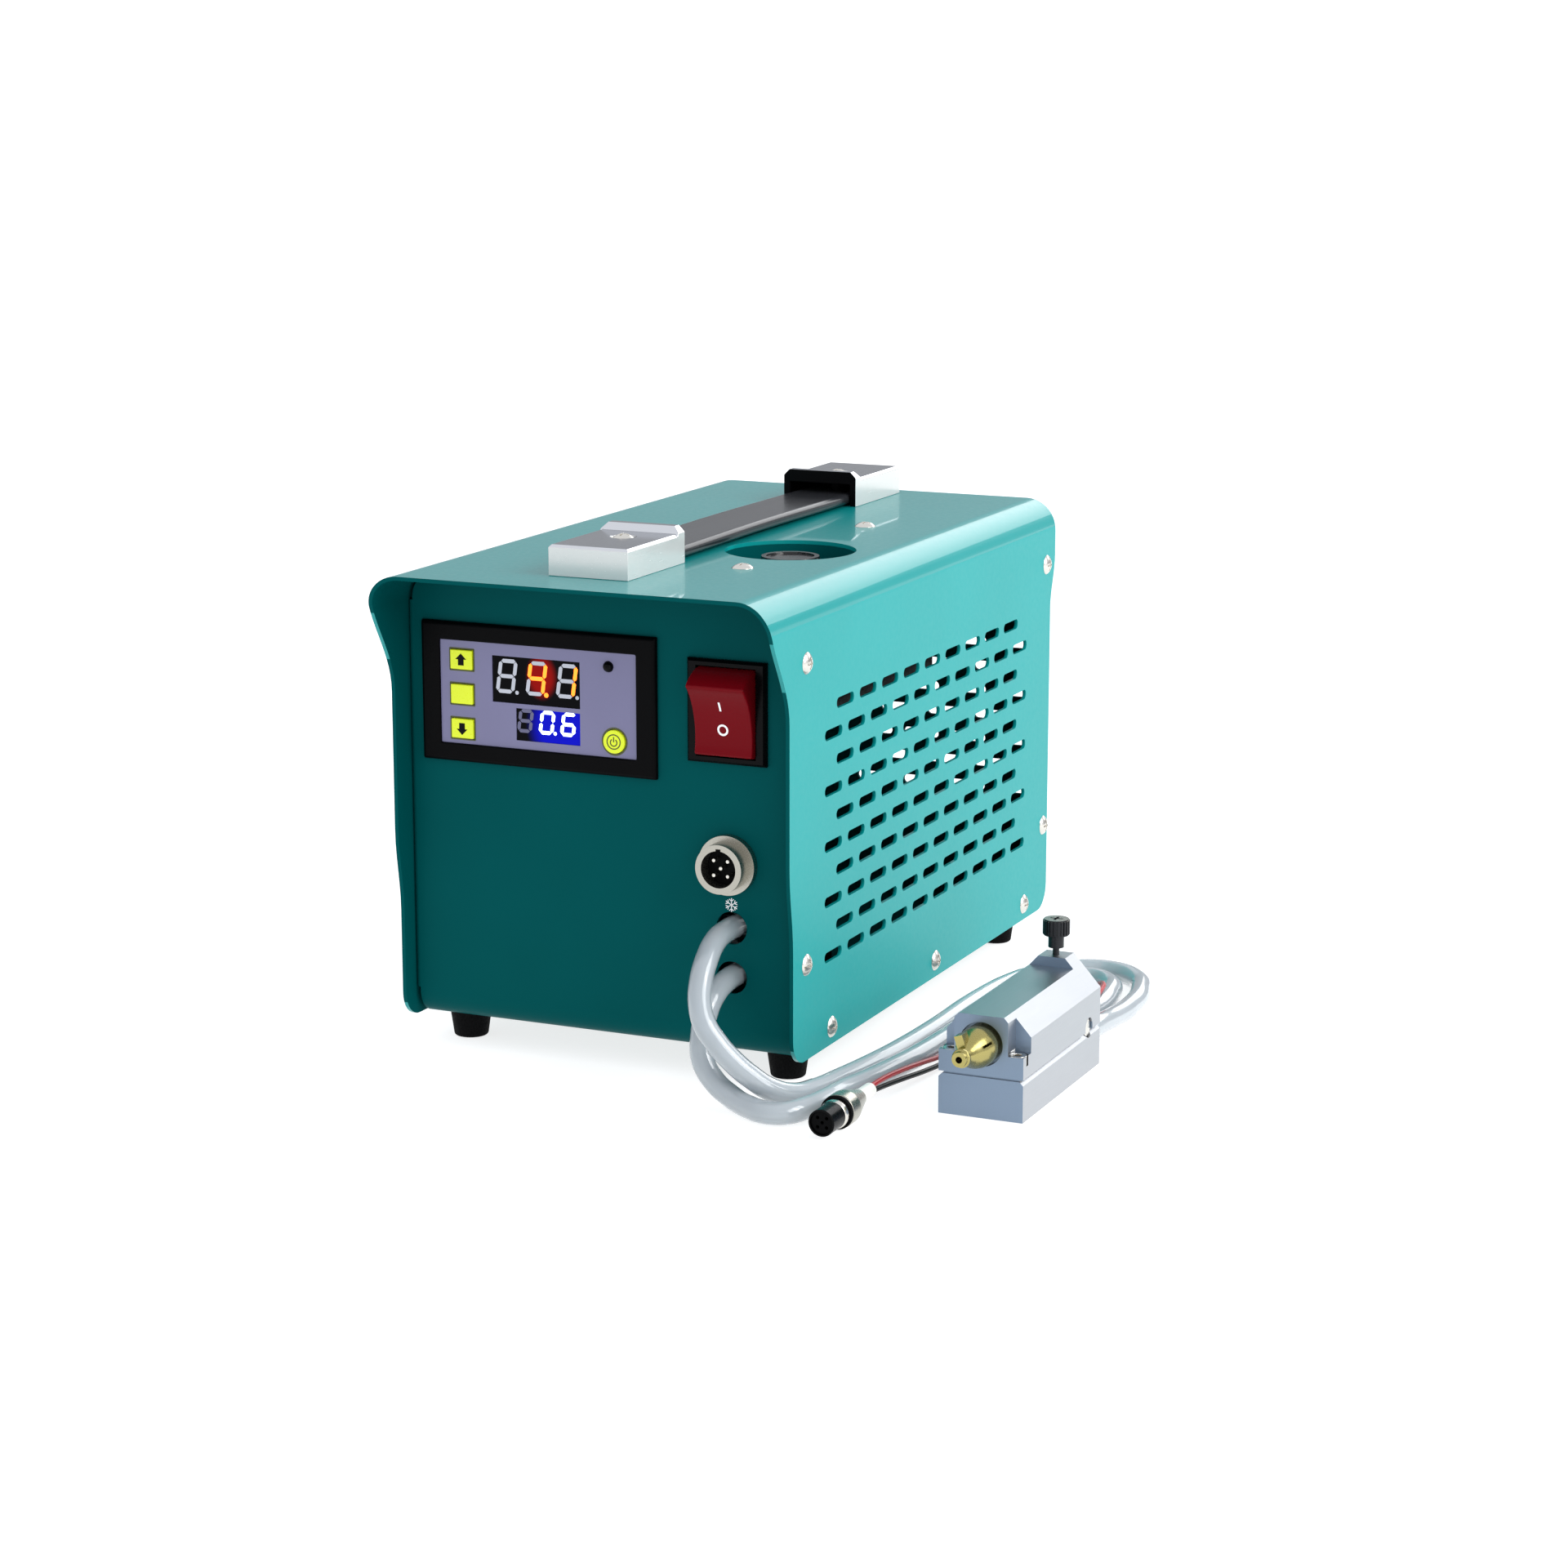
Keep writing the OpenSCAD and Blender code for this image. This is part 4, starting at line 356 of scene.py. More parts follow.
def round_edges(piece, width, steps=2, angle=SHARP, limit="ANGLE"):
    for polygon in piece.data.polygons:
        polygon.use_smooth = True
    edge = piece.modifiers.new("rounded_edges", "BEVEL")
    edge.width, edge.segments, edge.limit_method = width * MM, steps, limit
    edge.angle_limit, edge.harden_normals = math.radians(angle), True
    edge.miter_outer, edge.use_clamp_overlap = "MITER_ARC", limit == "ANGLE"
    shade = piece.modifiers.new("flat_faces_first", "WEIGHTED_NORMAL")
    shade.keep_sharp, shade.weight = True, 60
    return piece


def solid_copy(node):
    solid = bmesh.new()
    solid.from_mesh(frame["nodes"][node].data)
    bmesh.ops.remove_doubles(solid, verts=solid.verts, dist=JOIN * MM)
    bmesh.ops.dissolve_limit(solid, angle_limit=math.radians(FLAT), verts=solid.verts,
                             edges=solid.edges)
    return solid


def rounded(node, width, material, steps=2, choose=None, choose_edge=None):
    solid = solid_copy(node)
    if choose:
        solid.normal_update()
        for face in solid.faces:
            face.material_index = choose(face)
    if choose_edge:
        weight = solid.edges.layers.float.new("bevel_weight_edge")
        for edge in solid.edges:
            edge[weight] = choose_edge(edge)
    mesh = bpy.data.meshes.new(node + "_rounded")
    solid.to_mesh(mesh)
    solid.free()
    piece = add_piece(node + "_rounded", mesh, body_of[node], material)
    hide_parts(node)
    return round_edges(piece, width, steps, limit="WEIGHT" if choose_edge else "ANGLE")


print("edges that turn by more than", SHARP, "degrees get a round")

# %% [markdown]
# The cover is one sheet of painted steel, bent down on both sides. Its top and bends are
# glossy, its sides silky and a shade lighter, and its inner face and front edges get the
# same painted shade as the chassis. So each face of the solid asks where it lies and which
# way it looks, and returns the number of its finish. The filler well is a drawn cup under a
# round hole in the top, and its wall gets the painted shade too.

# %% Cover, chassis and filler well
COVER_HALF, COVER_TOP, SHEET = 66.0, 150.7, 1.2
SLACK, FRONT_ZONE = 0.1, 20


# Index 2 is the painted shade, for the inner faces and the front edges; index 1 is the lighter copy
# for the upright sides.
def cover_side(face):
    reach, height = (COVER_HALF - SHEET + SLACK) * MM, at(0, 0, COVER_TOP - SHEET + SLACK).z
    axis, middle = at(0, 0, COVER_TOP / 2), face.calc_center_median()
    off = middle - axis
    hidden = all(abs(v.co.x - axis.x) < reach and v.co.z < height for v in face.verts)
    inward = abs(face.normal.y) < 0.1 and face.normal.x * off.x + face.normal.z * off.z < 0
    front_edge = face.normal.y < -0.9 and middle.y < at(0, FRONT_ZONE, 0).y
    if front_edge or (hidden and inward):
        return 2
    return 1 if abs(face.normal.x) > 0.99 else 0


# The well's wall takes the painted shade.
def well_wall_shaded(face):
    return 1 if abs(face.normal.z) < 0.5 else 0


cover = rounded("cover_shell", 0.25, [powder_teal, powder_side_lit, powder_teal_shaded], choose=cover_side)
# The chassis takes the painted shade on every face.
rounded("chassis", 0.25, powder_teal_shaded)
rounded("filler_well", 0.2, [powder_teal, powder_teal_shaded], choose=well_wall_shaded)
print("cover faces before rounding:", len(cover.data.polygons))

# %% [markdown]
# The cover is held by domed screws with a cross recess, nickel plated. The feet are short
# cones of black rubber, each pressed up by its own screw from below.

# %% Screws and feet
rounded("cover_screws", 0.12, nickel)
rounded("foot_screws", 0.12, nickel)
rounded("rubber_feet", 0.7, rubber_black, steps=3)
print("screws and feet are dressed")

# %% [markdown]
# The carrying handle: two chrome-plated caps are bolted through the top, and a soft dark
# grey strap slides in them. A cap's top gets a darker, duller copy of the chrome, a painted
# dark reflection, and its flanks and ends a pale, half matt copy, painted light. Its
# chamfers stay mirror bright, and its mouth is painted black as shade. Again each face asks
# where it lies and returns the number of its finish. Only the strap's long edges are round.

# %% Handle
HANDLE_X, MOUTHS = -1.9, (36.2, 168.0)
ROOM_HALF, ROOM_TOP = 11.05 * MM, at(0, 0, COVER_TOP + 7.45).z
LONG, OUTER = 4 * MM, 10 * MM
handle_axis = at(HANDLE_X, 0, 0).x
mouths = [at(0, y, 0).y for y in MOUTHS]


# Index 1 paints the mouth black as shade, 2 gives the top the darker copy, 3 gives the flanks and ends
# the pale copy.
def cap_side(face):
    inside = all(abs(v.co.x - handle_axis) < ROOM_HALF and v.co.z < ROOM_TOP for v in face.verts)
    to_mouth = min(abs(face.calc_center_median().y - y) for y in mouths)
    if inside or (abs(face.normal.y) > 0.9 and to_mouth < 0.1 * MM):
        return 1
    if face.normal.z > 0.9:
        return 2
    return 3 if abs(face.normal.x) > 0.9 or abs(face.normal.y) > 0.9 else 0


def long_edge(edge):
    a, b = (v.co for v in edge.verts)
    return 1.0 if abs(a.y - b.y) > LONG and abs(a.x - handle_axis) > OUTER else 0.0


cap_finishes = [chrome, abs_black, chrome_top_painted_dark, chrome_flank_painted_pale]
rounded("handle_cap_front", 0.4, cap_finishes, steps=3, choose=cap_side)
rounded("handle_cap_rear", 0.4, cap_finishes, steps=3, choose=cap_side)
rounded("handle_strap", 1.7, vinyl_strap, steps=8, choose_edge=long_edge)
rounded("handle_screws", 0.2, nickel)
print("mouths of the caps at", MOUTHS, "mm behind the panel")

# %% [markdown]
# The filler: the round cap of the tank stands in the well. It is turned from black plastic,
# with a shallow recess in its top and fine ribs round its side for the fingers. Gasket and
# tank are hidden, so they only get their finish and keep the plain solid.

# %% Filler cap and tank
def dress_solids(material, nodes):
    for node in nodes:
        frame["nodes"][node].data.materials.clear()
        frame["nodes"][node].data.materials.append(material)


rounded("tank_cap", 0.3, abs_satin_black)
dress_solids(rubber_red, ["cap_gasket"])
dress_solids(polypropylene, ["water_tank", "tank_lid"])
print("filler is dressed")

# %% [markdown]
# Flat marks such as arrows, digits and the cooling mark are printed or lit shapes. Each is
# an outline in the plane of the panel, given a few hundredths of a millimetre of body, so
# it is real geometry and not a picture. Outlines may have several parts.

# %% Shapes laid on a panel
def level(z):
    return 0.0


def flat_shape(name, outlines, front, back, body, material, turn=None, surface=level):
    shape = bmesh.new()
    for outline in outlines:
        face = shape.faces.new([shape.verts.new(at(x, back + surface(z), z)) for x, z in outline])
        face.normal_update()
        if face.normal.y > 0:
            face.normal_flip()
        shell = bmesh.ops.extrude_face_region(shape, geom=[face])
        moved = [v for v in shell["geom"] if isinstance(v, bmesh.types.BMVert)]
        bmesh.ops.translate(shape, verts=moved, vec=Vector((0, (front - back) * MM, 0)))
    bmesh.ops.recalc_face_normals(shape, faces=shape.faces)
    if turn:
        bmesh.ops.transform(shape, matrix=turn, verts=shape.verts)
    mesh = bpy.data.meshes.new(name)
    shape.to_mesh(mesh)
    shape.free()
    return add_piece(name, mesh, body, material)


def bar(x0, z0, x1, z1, width):
    start, end = Vector((x0, z0)), Vector((x1, z1))
    along = (end - start).normalized() * width / 2
    side = Vector((-along.y, along.x))
    return [tuple(p) for p in (start + side, start - side, end - side, end + side)]


def ring(x, z, outer, inner, start=0, end=360, parts=40):
    pieces = []
    for k in range(parts):
        a, b = (math.radians(start + (end - start) * (k + e) / parts) for e in (0, 1))
        pieces.append([(x + r * math.cos(t), z + r * math.sin(t))
                       for r, t in ((inner, a), (outer, a), (outer, b), (inner, b))])
    return pieces


print("one ring is made of", len(ring(0, 0, 2, 1)), "short bars")

# %% [markdown]
# The cooling mark between the socket and the hoses is the usual six-spoke snow sign: six
# bars from one centre, with two small branches on each. It is white screen ink, so it
# stands a few hundredths proud of the panel, and starts a little below its skin.

# %% Cooling mark
MARK_X, MARK_Z, MARK_R = 43.4, 55.6, 2.1
SPOKE, BRANCH, BRANCH_FROM, BRANCH_TO = 0.26, 0.22, 0.5, (0.85, 0.34)
PANEL_INK, SUNK = 0.05, 0.02


def on_spoke(turn, along, across=0.0):
    point = Matrix.Rotation(math.radians(turn), 2) @ Vector((along, across)) * MARK_R
    return MARK_X + point.x, MARK_Z + point.y


snow_sign = []
for turn in range(90, 450, 60):
    snow_sign.append(bar(*on_spoke(turn, 0), *on_spoke(turn, 1), SPOKE))
    for side in (1, -1):
        tip = on_spoke(turn, BRANCH_TO[0], side * BRANCH_TO[1])
        snow_sign.append(bar(*on_spoke(turn, BRANCH_FROM), *tip, BRANCH))
flat_shape("cooling_mark", snow_sign, -PANEL_INK, SUNK, "root", ink_white)
print("cooling mark is", 2 * MARK_R, "mm across")

# %% [markdown]
# The thermostat is a bought panel instrument: a black frame, a lilac film with two dark
# windows, three square keys and a round one. Frame and keys are moulded and get a round
# that shows, and the film is cut from printed sheet and has hardly any.

# %% Thermostat
rounded("controller_bezel", 0.45, abs_black, steps=3)
rounded("controller_face", 0.05, polyester_lilac)
KEY_ROUNDS = {"key_up": 0.35, "key_set": 0.35, "key_down": 0.35, "key_power": 0.3}
for key, width in KEY_ROUNDS.items():
    rounded(key, width, abs_yellow, steps=3)
print("keys:", len(KEY_ROUNDS))

# %% [markdown]
# Two of the square keys carry arrows, and the round one a power sign: a broken ring with a
# bar in its gap. A thin olive line round each key is painted shade, standing for the shadow
# in the gap between key and film. The signs ride on their keys, so they go in with them, and
# the lines stay with the frame.

# %% Signs on the keys and lines round them
CTL_X, CTL_Z = -19.9, 112.95
KEY_X, KEY_Z, KEY_STEP, KEY_FRONT = CTL_X - 25.65, CTL_Z - 0.55, 10.6, -1.9
POWER_X, POWER_Z = CTL_X + 25.7, CTL_Z - 10.9
LINE_W, LINE_H, LINE, FILM_FRONT = 4.15, 3.4, 0.36, -1.2
KEY_INK, FILM_INK, ARROW_SIZE = 0.04, 0.03, 1.15
ARROW = [(-0.85, -1.5), (0.85, -1.5), (0.85, 0.1), (1.6, 0.1), (0, 1.7), (-1.6, 0.1), (-0.85, 0.1)]
for name, sense in (("key_up", 1), ("key_down", -1)):
    arrow = [(KEY_X + ARROW_SIZE * x, KEY_Z + sense * (KEY_STEP + ARROW_SIZE * z)) for x, z in ARROW]
    flat_shape(name + "_arrow", [arrow], KEY_FRONT - KEY_INK, KEY_FRONT + SUNK, name, ink_black)
# Painted shade: thin lines round the keys where their gaps lie in shadow.
gap_shade_lines = ring(POWER_X, POWER_Z, 4.3, 3.85)
for row in (1, 0, -1):
    z = KEY_Z + row * KEY_STEP
    corners = [(KEY_X + LINE_W * x, z + LINE_H * up) for x, up in ((-1, -1), (1, -1), (1, 1), (-1, 1))]
    gap_shade_lines += [bar(*a, *b, LINE) for a, b in zip(corners, corners[1:] + corners[:1])]
flat_shape("key_borders", gap_shade_lines, FILM_FRONT - FILM_INK, FILM_FRONT + SUNK, "root", olive_print_and_gap_shade)
power_sign = ring(POWER_X, POWER_Z, 2.35, 2.0)
power_sign += ring(POWER_X, POWER_Z - 0.2, 1.25, 0.9, 125, 415)
power_sign.append(bar(POWER_X, POWER_Z + 1.5, POWER_X, POWER_Z - 0.1, 0.35))
flat_shape("power_key_sign", power_sign, KEY_FRONT - KEY_INK, KEY_FRONT + SUNK, "key_power",
           olive_print_and_gap_shade)
print("bars in the lines round the keys:", len(gap_shade_lines))

# %% [markdown]
# The windows are smoked acrylic in front of light-emitting segments. Lit segments glow, and
# the window round them is given a painted glow of its own: an emission that fades with the
# distance from the lit digits, which the window's own coordinates give, so it is calculated
# and needs no picture.

# %% Glowing segments and smoked windows
FULL, GONE = 0.55, 1.1


def lit(name, code, strength):
    return bare_material(name, {"Base Color": linear(code), "Emission Color": linear(code),
                                "Emission Strength": strength, "Roughness": 0.4})[0]


def glowing_window(name, code, centre, reach, strength):
    material, tree, shader = bare_material(name, {
        "Base Color": linear("#050508"), "Roughness": 0.12, "IOR": 1.49,
        "Specular IOR Level": 0.05, "Emission Color": linear(code)})
    place = add_node(tree, "ShaderNodeTexCoord").outputs["Object"]
    off = add_node(tree, "ShaderNodeVectorMath", {"operation": "SUBTRACT"},
                   {0: place, 1: tuple(centre)})
    scaled = add_node(tree, "ShaderNodeVectorMath", {"operation": "MULTIPLY"},
                      {0: off.outputs[0], 1: tuple(1 / (r * MM) for r in reach)})
    far = add_node(tree, "ShaderNodeVectorMath", {"operation": "LENGTH"}, {0: scaled.outputs[0]})
    glow = add_node(tree, "ShaderNodeMapRange", {"interpolation_type": "SMOOTHSTEP"}, {
        "Value": far.outputs["Value"], "From Min": FULL, "From Max": GONE,
        "To Min": strength, "To Max": 0.0})
    tree.links.new(glow.outputs["Result"], shader.inputs["Emission Strength"])
    return material


print("the tint is gone at", GONE, "times its reach")

# %% [markdown]
# A digit has seven segments, lettered a to g by custom, and leans by 8 degrees. Each one is
# a bar with pointed ends between two corners of the digit's box, so one small table of
# corners draws every digit. The decimal point is a round dot.

# %% Outlines of digits
SEGMENTS = {"a": ((0, 1), (1, 1)), "b": ((1, 1), (1, 0.5)), "c": ((1, 0.5), (1, 0)),
            "d": ((0, 0), (1, 0)), "e": ((0, 0.5), (0, 0)), "f": ((0, 1), (0, 0.5)),
            "g": ((0, 0.5), (1, 0.5))}
LEAN, END_GAP, DOT_SIDES = math.tan(math.radians(8)), 0.12, 14


def segment(x, z, width, height, thick, letter):
    a, b = [Vector((x + (u - 0.5) * width + LEAN * (v - 0.5) * height, z + (v - 0.5) * height))
            for u, v in SEGMENTS[letter]]
    along = (b - a).normalized()
    side, half = Vector((-along.y, along.x)) * thick / 2, along * thick / 2
    a, b = a + along * END_GAP * thick, b - along * END_GAP * thick
    return [tuple(p) for p in (a, a + half + side, b - half + side, b, b - half - side,
                               a + half - side)]


def digit(x, z, width, height, thick, letters):
    return [segment(x, z, width, height, thick, letter) for letter in letters]


def dot(x, z, r):
    turns = [math.tau * k / DOT_SIDES for k in range(DOT_SIDES)]
    return [[(x + r * math.cos(t), z + r * math.sin(t)) for t in turns]]


print("a full digit has", len(digit(0, 0, 5, 9, 1, "abcdefg")), "segments")

# %% [markdown]
# Two small displays sit one above the other. The upper glows orange and the lower white on
# blue. The first digit of each is dark, and its unlit segments show as pale grey bars. The
# status lamp beside them is off, so it is only a small glossy black disc.

# %% Displays and status lamp
GLASS_FRONT, GLASS_INK, BETWEEN = -0.95, 0.03, at(0, 0, 110.2).z
UPPER_Z, UPPER_X, UPPER_SIZE = 119.0, (-30.4, -20.3, -10.1), (5.1, 9.3, 1.2)
LOWER_Z, LOWER_X, LOWER_SIZE = 105.8, (-24.25, -16.95, -9.7), (3.9, 6.2, 1.1)
UPPER_DOT, LOWER_DOT = UPPER_Z - 4.8, LOWER_Z - 3.1
pale_segment = finish("led_segment_unlit_grey", "#B9BCC6", 0.4, 0.3, 0.002, IOR=1.5)
dim_segment = finish("led_segment_unlit_dim", "#5A5A78", 0.4, 0.3, 0.002, IOR=1.5)
orange_segment = lit("led_segment_lit_orange", "#FF6A12", 3.2)
white_segment = lit("led_segment_lit_white", "#C9D6FF", 3.0)
# Both windows carry a painted glow round their lit digits.
upper_window = glowing_window("acrylic_smoked_upper", "#FF1400", at(-18.6, GLASS_FRONT, 119.6),
                              (5.2, 40, 7), 0.3)
lower_window = glowing_window("acrylic_smoked_lower", "#0A14FF", at(-12.4, GLASS_FRONT, 104.9),
                              (11, 40, 13), 0.6)
rounded("led_displays", 0.05, [upper_window, lower_window],
        choose=lambda face: 0 if face.calc_center_median().z > BETWEEN else 1)
unlit, glowing = [], []
for x, dark, bright in zip(UPPER_X, ("abcdefg", "ade", "adefg"), ("", "bcfg", "bc")):
    unlit += digit(x, UPPER_Z, *UPPER_SIZE, dark)
    glowing += digit(x, UPPER_Z, *UPPER_SIZE, bright)
unlit += dot(UPPER_X[0] + 3.4, UPPER_DOT, 0.6) + dot(UPPER_X[2] + 3.4, UPPER_DOT, 0.6)
glowing += dot(UPPER_X[1] + 3.2, UPPER_DOT, 0.75)
dark_low = digit(LOWER_X[0], LOWER_Z, *LOWER_SIZE, "abcdefg")
lit_low = digit(LOWER_X[1], LOWER_Z, *LOWER_SIZE, "abcdef")
lit_low += digit(LOWER_X[2], LOWER_Z, *LOWER_SIZE, "acdefg") + dot(LOWER_X[1] + 2.7, LOWER_DOT, 0.55)
for name, outlines, material in (("upper_segments_unlit", unlit, pale_segment),
                                 ("upper_segments_lit", glowing, orange_segment),
                                 ("lower_segments_unlit", dark_low, dim_segment),
                                 ("lower_segments_lit", lit_low, white_segment)):
    flat_shape(name, outlines, GLASS_FRONT - GLASS_INK, GLASS_FRONT + SUNK, "root", material)
rounded("status_led", 0.05, abs_gloss_black)
print("lit segments and dots:", len(glowing) + len(lit_low))

# %% [markdown]
# The power switch: a rocker of glossy red polycarbonate in a black frame. Its face is one
# soft hollow between two lips, so it is drawn as a smooth profile and given depth across.
# The solid has the same pivot, lips and tilt, only with a straight-sided hollow.

# %% Rocker
SWITCH_X, SWITCH_Z, PIVOT_Y = 42.6, 113.9, -0.2
ROCKER_R, ROCKER_W, TILT = 13.25, 18.6, math.radians(16)
LIP, DIP, EDGE, HOLLOW, FACE_STEPS = 7.33, 4.6, 11.04, 2.2, 28
ARC, TAIL = (-123.6, -115, -105, -95, -85, -75, -66), [(8, -5), (8, 5)]
pivot = at(SWITCH_X, PIVOT_Y, SWITCH_Z)


def rocker_front(v):
    return -(DIP + (LIP - DIP) * (abs(v) / EDGE) ** HOLLOW)


def make_rocker():
    heights = [EDGE - 2 * EDGE * k / FACE_STEPS for k in range(FACE_STEPS + 1)]
    front = [(rocker_front(v), v) for v in heights]
    turns = [math.radians(t) for t in ARC]
    low = [(ROCKER_R * math.cos(t), ROCKER_R * math.sin(t)) for t in turns]
    outline = front + (low + TAIL + [(y, -v) for y, v in reversed(low)])[1:-1]
    prism = bmesh.new()
    tilt = Matrix.Rotation(TILT, 3, "X")
    near, far = ([prism.verts.new(pivot + tilt @ Vector((side * ROCKER_W / 2, y, v)) * MM)
                  for y, v in outline] for side in (-1, 1))
    prism.faces.new(near)
    prism.faces.new(list(reversed(far)))
    for k in range(len(outline)):
        n = (k + 1) % len(outline)
        prism.faces.new((near[k], far[k], far[n], near[n]))
    bmesh.ops.recalc_face_normals(prism, faces=prism.faces)
    mesh = bpy.data.meshes.new("rocker_moulding")
    prism.to_mesh(mesh)
    prism.free()
    return mesh


rocker = add_piece("rocker_moulding", make_rocker(), "power_rocker", polycarbonate_red)
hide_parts("power_rocker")
round_edges(rocker, 0.55, 3, 30)
rounded("rocker_housing", 0.45, abs_gloss_black)
print("rocker swings about", [round(v, 4) for v in pivot])

# %% [markdown]
# The rocker's marks are white ink in its hollow: a bar for on and a ring for off. They are
# drawn in short bits on the upright face, each bit at the depth of the hollow there, and
# then tipped with the rocker about its axle.

# %% Marks on the rocker
ON_Z, ON_LINE, ON_BITS, ON_STEP = 5.6, 0.6, 6, 0.5
OFF_Z, OFF_OUTER, OFF_INNER = -3.6, 1.75, 1.15
ROCKER_INK, ROCKER_SUNK = 0.06, 0.1


def on_rocker(z):
    return PIVOT_Y + rocker_front(z - SWITCH_Z)


tops = [SWITCH_Z + ON_Z - ON_STEP * k for k in range(ON_BITS)]
on_mark = [bar(SWITCH_X, top, SWITCH_X, top - ON_LINE, ON_LINE) for top in tops]
off_mark = ring(SWITCH_X, SWITCH_Z + OFF_Z, OFF_OUTER, OFF_INNER)
tip_over = Matrix.Translation(pivot) @ Matrix.Rotation(TILT, 4, "X") @ Matrix.Translation(-pivot)
for name, outlines in (("rocker_on_mark", on_mark), ("rocker_off_mark", off_mark)):
    flat_shape(name, outlines, -ROCKER_INK, ROCKER_SUNK, "power_rocker", ink_white,
               tip_over, on_rocker)
print("bits in the two marks:", len(on_mark), "and", len(off_mark))

# %% [markdown]
# The round socket is turned brass under satin nickel. Its insert is dark, and the five pins
# stand up bright inside it. Pins get a large round for their size, since theirs is a dome.

# %% Socket
rounded("socket_shell", 0.35, nickel_satin, steps=3)
rounded("socket_insert", 0.1, abs_black)
rounded("socket_pins", 0.25, nickel, steps=3)
print("socket is dressed")

# %% [markdown]
# The plug on the lead is a set of turned rings: a dark nose, a thin bright collar, a black
# rubber ring, a plated shell with a taper and a soft pale boot. Each is a profile spun round
# the plug's axis, which is how a lathe makes it. A profile lists distances behind the tip
# with the radius there, and the rubber ring turns on its own.

# %% Plug
PLUG_X, PLUG_Z, PLUG_TIP, SIDES_ROUND = 89.3, 5.15, -38.4, 48


def turned(name, profile, body, material, slot):
    lathe = bmesh.new()
    rows = []
    for k in range(SIDES_ROUND):
        across, up = math.cos(math.tau * k / SIDES_ROUND), math.sin(math.tau * k / SIDES_ROUND)
        rows.append([lathe.verts.new(at(PLUG_X + r * across, PLUG_TIP + y, PLUG_Z + r * up))
                     for y, r in profile])
    for near, far in zip(rows, rows[1:] + rows[:1]):
        for i in range(len(profile)):
            j = (i + 1) % len(profile)
            lathe.faces.new((near[i], far[i], far[j], near[j]))
    bmesh.ops.recalc_face_normals(lathe, faces=lathe.faces)
    mesh = bpy.data.meshes.new(name)
    lathe.to_mesh(mesh)
    lathe.free()
    piece = add_piece(name, mesh, body, material)
    return round_edges(piece, 0.12, 2, 25)


PLUG_PROFILES = (
    ("plug_nose", [(0, 3.5), (0, 4.05), (8.2, 4.05), (8.2, 3.6), (7, 3.5)],
     "root", abs_gloss_black, slots["plug_shell"]),
    ("plug_collar", [(8.2, 3.4), (8.2, 4.0), (9.0, 4.35), (10.4, 4.35), (10.4, 3.4)],
     "root", nickel, slots["plug_shell"]),
    ("plug_sleeve", [(12.1, 3), (12.1, 5.0), (12.5, 5.15), (16.9, 5.15), (17.8, 5.0), (21, 4.15),
                     (24.5, 3.2), (26.6, 2.6), (27.1, 2.5), (27.1, 2.0)],
     "root", nickel_satin, slots["plug_shell"]),
    ("plug_boot", [(26.6, 1.0), (26.6, 2.45), (28, 2.45), (28.4, 2.2), (35.6, 2.15), (36.1, 1.9),
                   (36.1, 1.0)], "root", nylon_white, slots["plug_shell"]),
    ("plug_band", [(10.6, 4.12), (10.6, 4.95), (10.9, 5.05), (11.7, 5.05), (12.0, 4.95),
                   (12.0, 4.12)], "plug_ring", rubber_black, slots["plug_ring"]))
nose, collar, shell, boot, plug_band = (turned(*row) for row in PLUG_PROFILES)
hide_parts("plug_shell")
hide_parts("plug_ring")
rounded("plug_insert", 0.1, abs_black)
print("turned plug pieces:", len(PLUG_PROFILES))

# %% [markdown]
# Both hoses end in the head, and the lead runs from the head to its plug.

print("the hoses leave the unit at", supply_points[0], "and", return_points[0])

# %% [markdown]
# The head: two milled and clear anodised blocks with a dark seam between them, an end
# plate, a brass nozzle turned to a bell with a slit, and a black thumb screw with a knurled
# head, whose top is painted light with a paler satin nickel. The flanks are milled bright,
# and the faces towards the front get a darker, bluer copy of the anodising: painted shade.
# Milled edges are only just broken, so they catch thin lines of light.

# %% Dispensing head
# Faces that look to the front take the darker copy: painted shade.
def block_front_shaded(face):
    return 1 if face.normal.y < -0.9 else 0


# The thumb screw's top takes a paler satin nickel: painted light.
def screw_top_lit(face):
    return 1 if face.normal.z > 0.9 else 0


HEAD_BLOCKS = ("head_upper_block", "head_lower_block", "head_end_plate")
for node in HEAD_BLOCKS:
    rounded(node, 0.3, [anodised, anodised_painted_shade], choose=block_front_shaded)
rounded("nozzle", 0.15, brass)
rounded("head_screws", 0.2, nickel)
rounded("thumb_screw", 0.12, [steel_black, nickel_satin], choose=screw_top_lit)
rounded("hose_barbs", 0.2, nickel)
print("blocks of the head:", len(HEAD_BLOCKS))

# %% [markdown]
# What lies inside shows only as glints and shadows through the slots. These solids keep
# their shape and get the finish of the real thing. In the rear view the mains inlet shows,
# so it gets round edges, and the narrow faces of its contacts are brass.

# %% Pieces inside and at the rear
CONTACT_Y, CONTACT_REACH, CONTACT_WIDTH = 205.5, 2.6, 2.2
INSIDE = {
    abs_black: ["controller_case", "pump_body", "fan_frame", "fan_rotor"],
    glass_epoxy: ["controller_board", "psu_board"],
    brass_stamped: ["rocker_terminals"],
    nickel: ["socket_nut", "fan_screws"],
    silicone: ["inner_hoses"],
    steel_can: ["pump_motor"],
    nylon_white: ["pump_impeller", "clamp_pad"],
    radiator_paint: ["radiator_core", "radiator_headers"],
    steel_zinc: ["radiator_stands", "psu_case"],
    ceramic: ["peltier_module"],
}
for material, nodes in INSIDE.items():
    dress_solids(material, nodes)


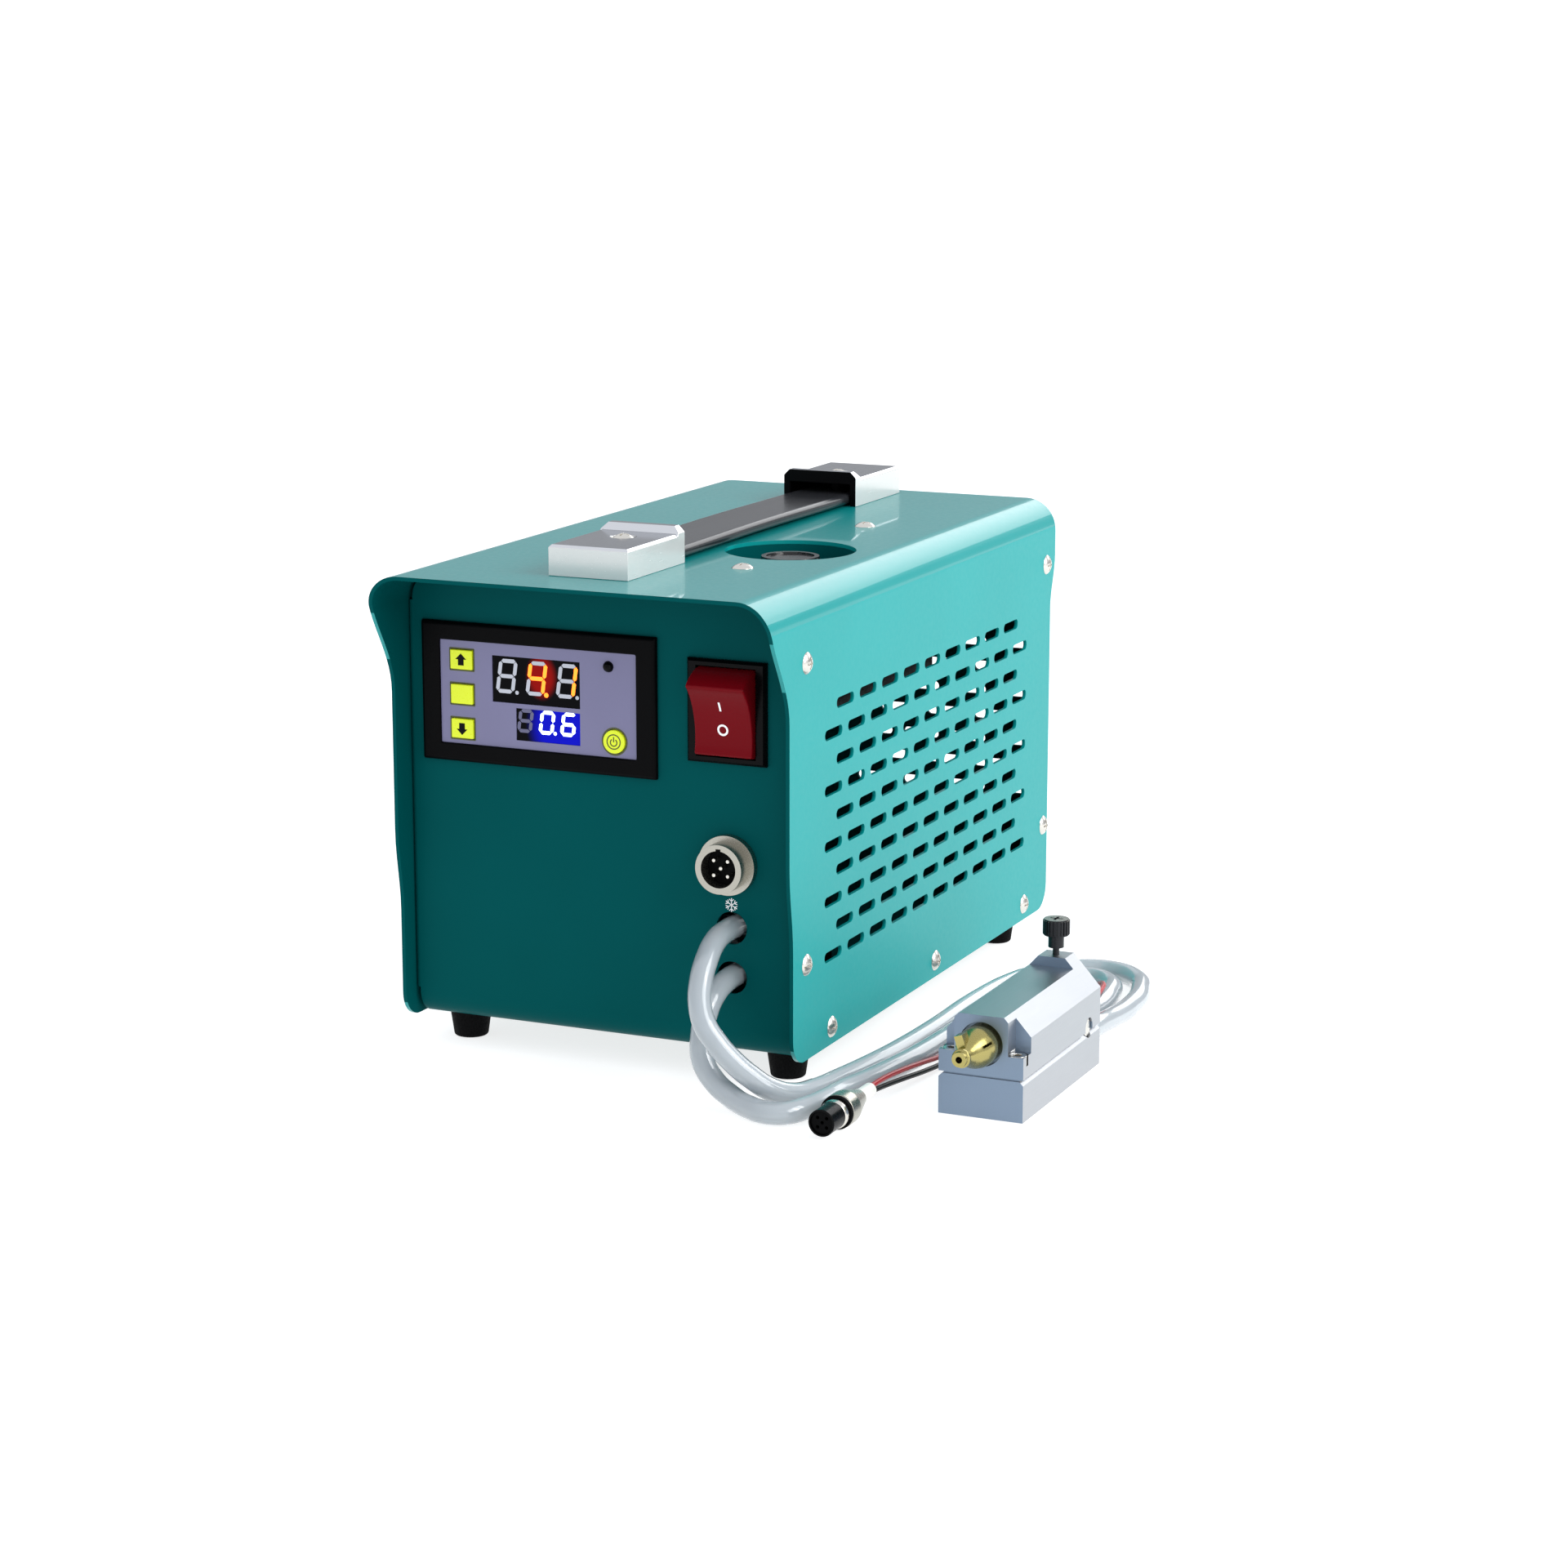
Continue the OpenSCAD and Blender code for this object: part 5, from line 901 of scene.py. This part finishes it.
def inlet_side(face):
    wide = max(v.co.x for v in face.verts) - min(v.co.x for v in face.verts)
    behind = abs(face.calc_center_median().y - at(0, CONTACT_Y, 0).y)
    return 1 if wide < CONTACT_WIDTH * MM and behind < CONTACT_REACH * MM else 0


rounded("mains_inlet", 0.4, [abs_black, brass_stamped], choose=inlet_side)
print("inner solids dressed:", sum(len(nodes) for nodes in INSIDE.values()))

# %% [markdown]
# The stage: a wide, plain, pale floor and soft light. The floor is a matt acrylic sheet,
# lit from below, as catalogue studios use it: shadows stay so weak that the object
# seems to stand on nothing but white. It lies a hair below the feet.

# %% Floor
SPREAD, SIDES, BELOW = 500.0, 64, 0.0002
sheet = bmesh.new()
rim = [(SPREAD * math.cos(math.tau * k / SIDES), SPREAD * math.sin(math.tau * k / SIDES), -BELOW)
       for k in range(SIDES)]
sheet.faces.new([sheet.verts.new(point) for point in rim])
floor_mesh = bpy.data.meshes.new("floor")
sheet.to_mesh(floor_mesh)
sheet.free()
floor = bpy.data.objects.new("floor", floor_mesh)
bpy.context.scene.collection.objects.link(floor)
floor_mesh.materials.append(finish(
    "acrylic_sheet_backlit_white", "#ACAEAF", 0.9, 2.0, 0.01, tone=0.004, gloss=0.02,
    **{"Emission Color": linear("#FFFFFF"), "Emission Strength": 0.78}))
print("floor radius", SPREAD, "m")

# %% [markdown]
# The key is a soft low sun from the right: it brightens the side and leaves the front in
# shade. A near panel makes the side lighter towards its top, and a broad lamp high behind
# draws the pale band along the top's bend and the strap's edge.

# %% Lights
def add_light(name, kind, place, aim, energy, settings):
    light = bpy.data.lights.new(name, kind)
    light.energy = energy
    for setting, value in settings.items():
        setattr(light, setting, value)
    lamp = bpy.data.objects.new(name, light)
    bpy.context.scene.collection.objects.link(lamp)
    lamp.location = place
    lamp.rotation_euler = (Vector(aim) - Vector(place)).to_track_quat("-Z", "Y").to_euler()


LAMPS = (
    ("low_sun", "SUN", (4.0, -0.9, 2.1), (0.0, 0.0, 0.0), 1.2, {"angle": math.radians(35)}),
    ("side_panel", "AREA", (0.75, 0.0, 0.6), (0.1, 0.0, 0.1), 3.0,
     {"shape": "RECTANGLE", "size": 0.5, "size_y": 0.4}),
    ("back_strip", "AREA", (0.6, 2.6, 1.25), (0.0, 0.0, 0.15), 20.0,
     {"shape": "RECTANGLE", "size": 2.6, "size_y": 1.0}))
for row in LAMPS:
    add_light(*row)
print("lamps:", len(LAMPS))

# %% [markdown]
# The room itself is a bright, even sky that fills every shadow. Only low behind the object
# it is half as bright: the flat top and the caps' tops mirror that part, and a plain white
# wall there would wash the teal out. Both limits are given as parts of a direction: how far
# up it points, and how far back.

# %% Room
SKY, WALL = 1.0, 0.5
WALL_TOP, WALL_FADE, WALL_SIDE, WALL_FULL = 0.29, 0.40, 0.1, 0.6
world = bpy.data.worlds.new("studio")
bpy.context.scene.world = world
world.use_nodes = True
room = world.node_tree
smooth = {"interpolation_type": "SMOOTHSTEP"}
direction = add_node(room, "ShaderNodeTexCoord").outputs["Generated"]
towards = add_node(room, "ShaderNodeSeparateXYZ", sockets={"Vector": direction})
low = add_node(room, "ShaderNodeMapRange", smooth, {
    "Value": towards.outputs["Z"], "From Min": WALL_TOP, "From Max": WALL_FADE,
    "To Min": 1.0, "To Max": 0.0})
behind = add_node(room, "ShaderNodeMapRange", smooth, {
    "Value": towards.outputs["Y"], "From Min": WALL_SIDE, "From Max": WALL_FULL})
wall = add_node(room, "ShaderNodeMath", {"operation": "MULTIPLY"},
                {0: low.outputs["Result"], 1: behind.outputs["Result"]})
strength = add_node(room, "ShaderNodeMapRange", sockets={
    "Value": wall.outputs[0], "To Min": SKY, "To Max": WALL})
backdrop = room.nodes["Background"]
backdrop.inputs["Color"].default_value = linear("#F6F9FF")
room.links.new(strength.outputs["Result"], backdrop.inputs["Strength"])
bpy.context.scene.view_settings.view_transform = "Standard"
print("the wall low behind is", WALL / SKY, "times as bright as the sky")
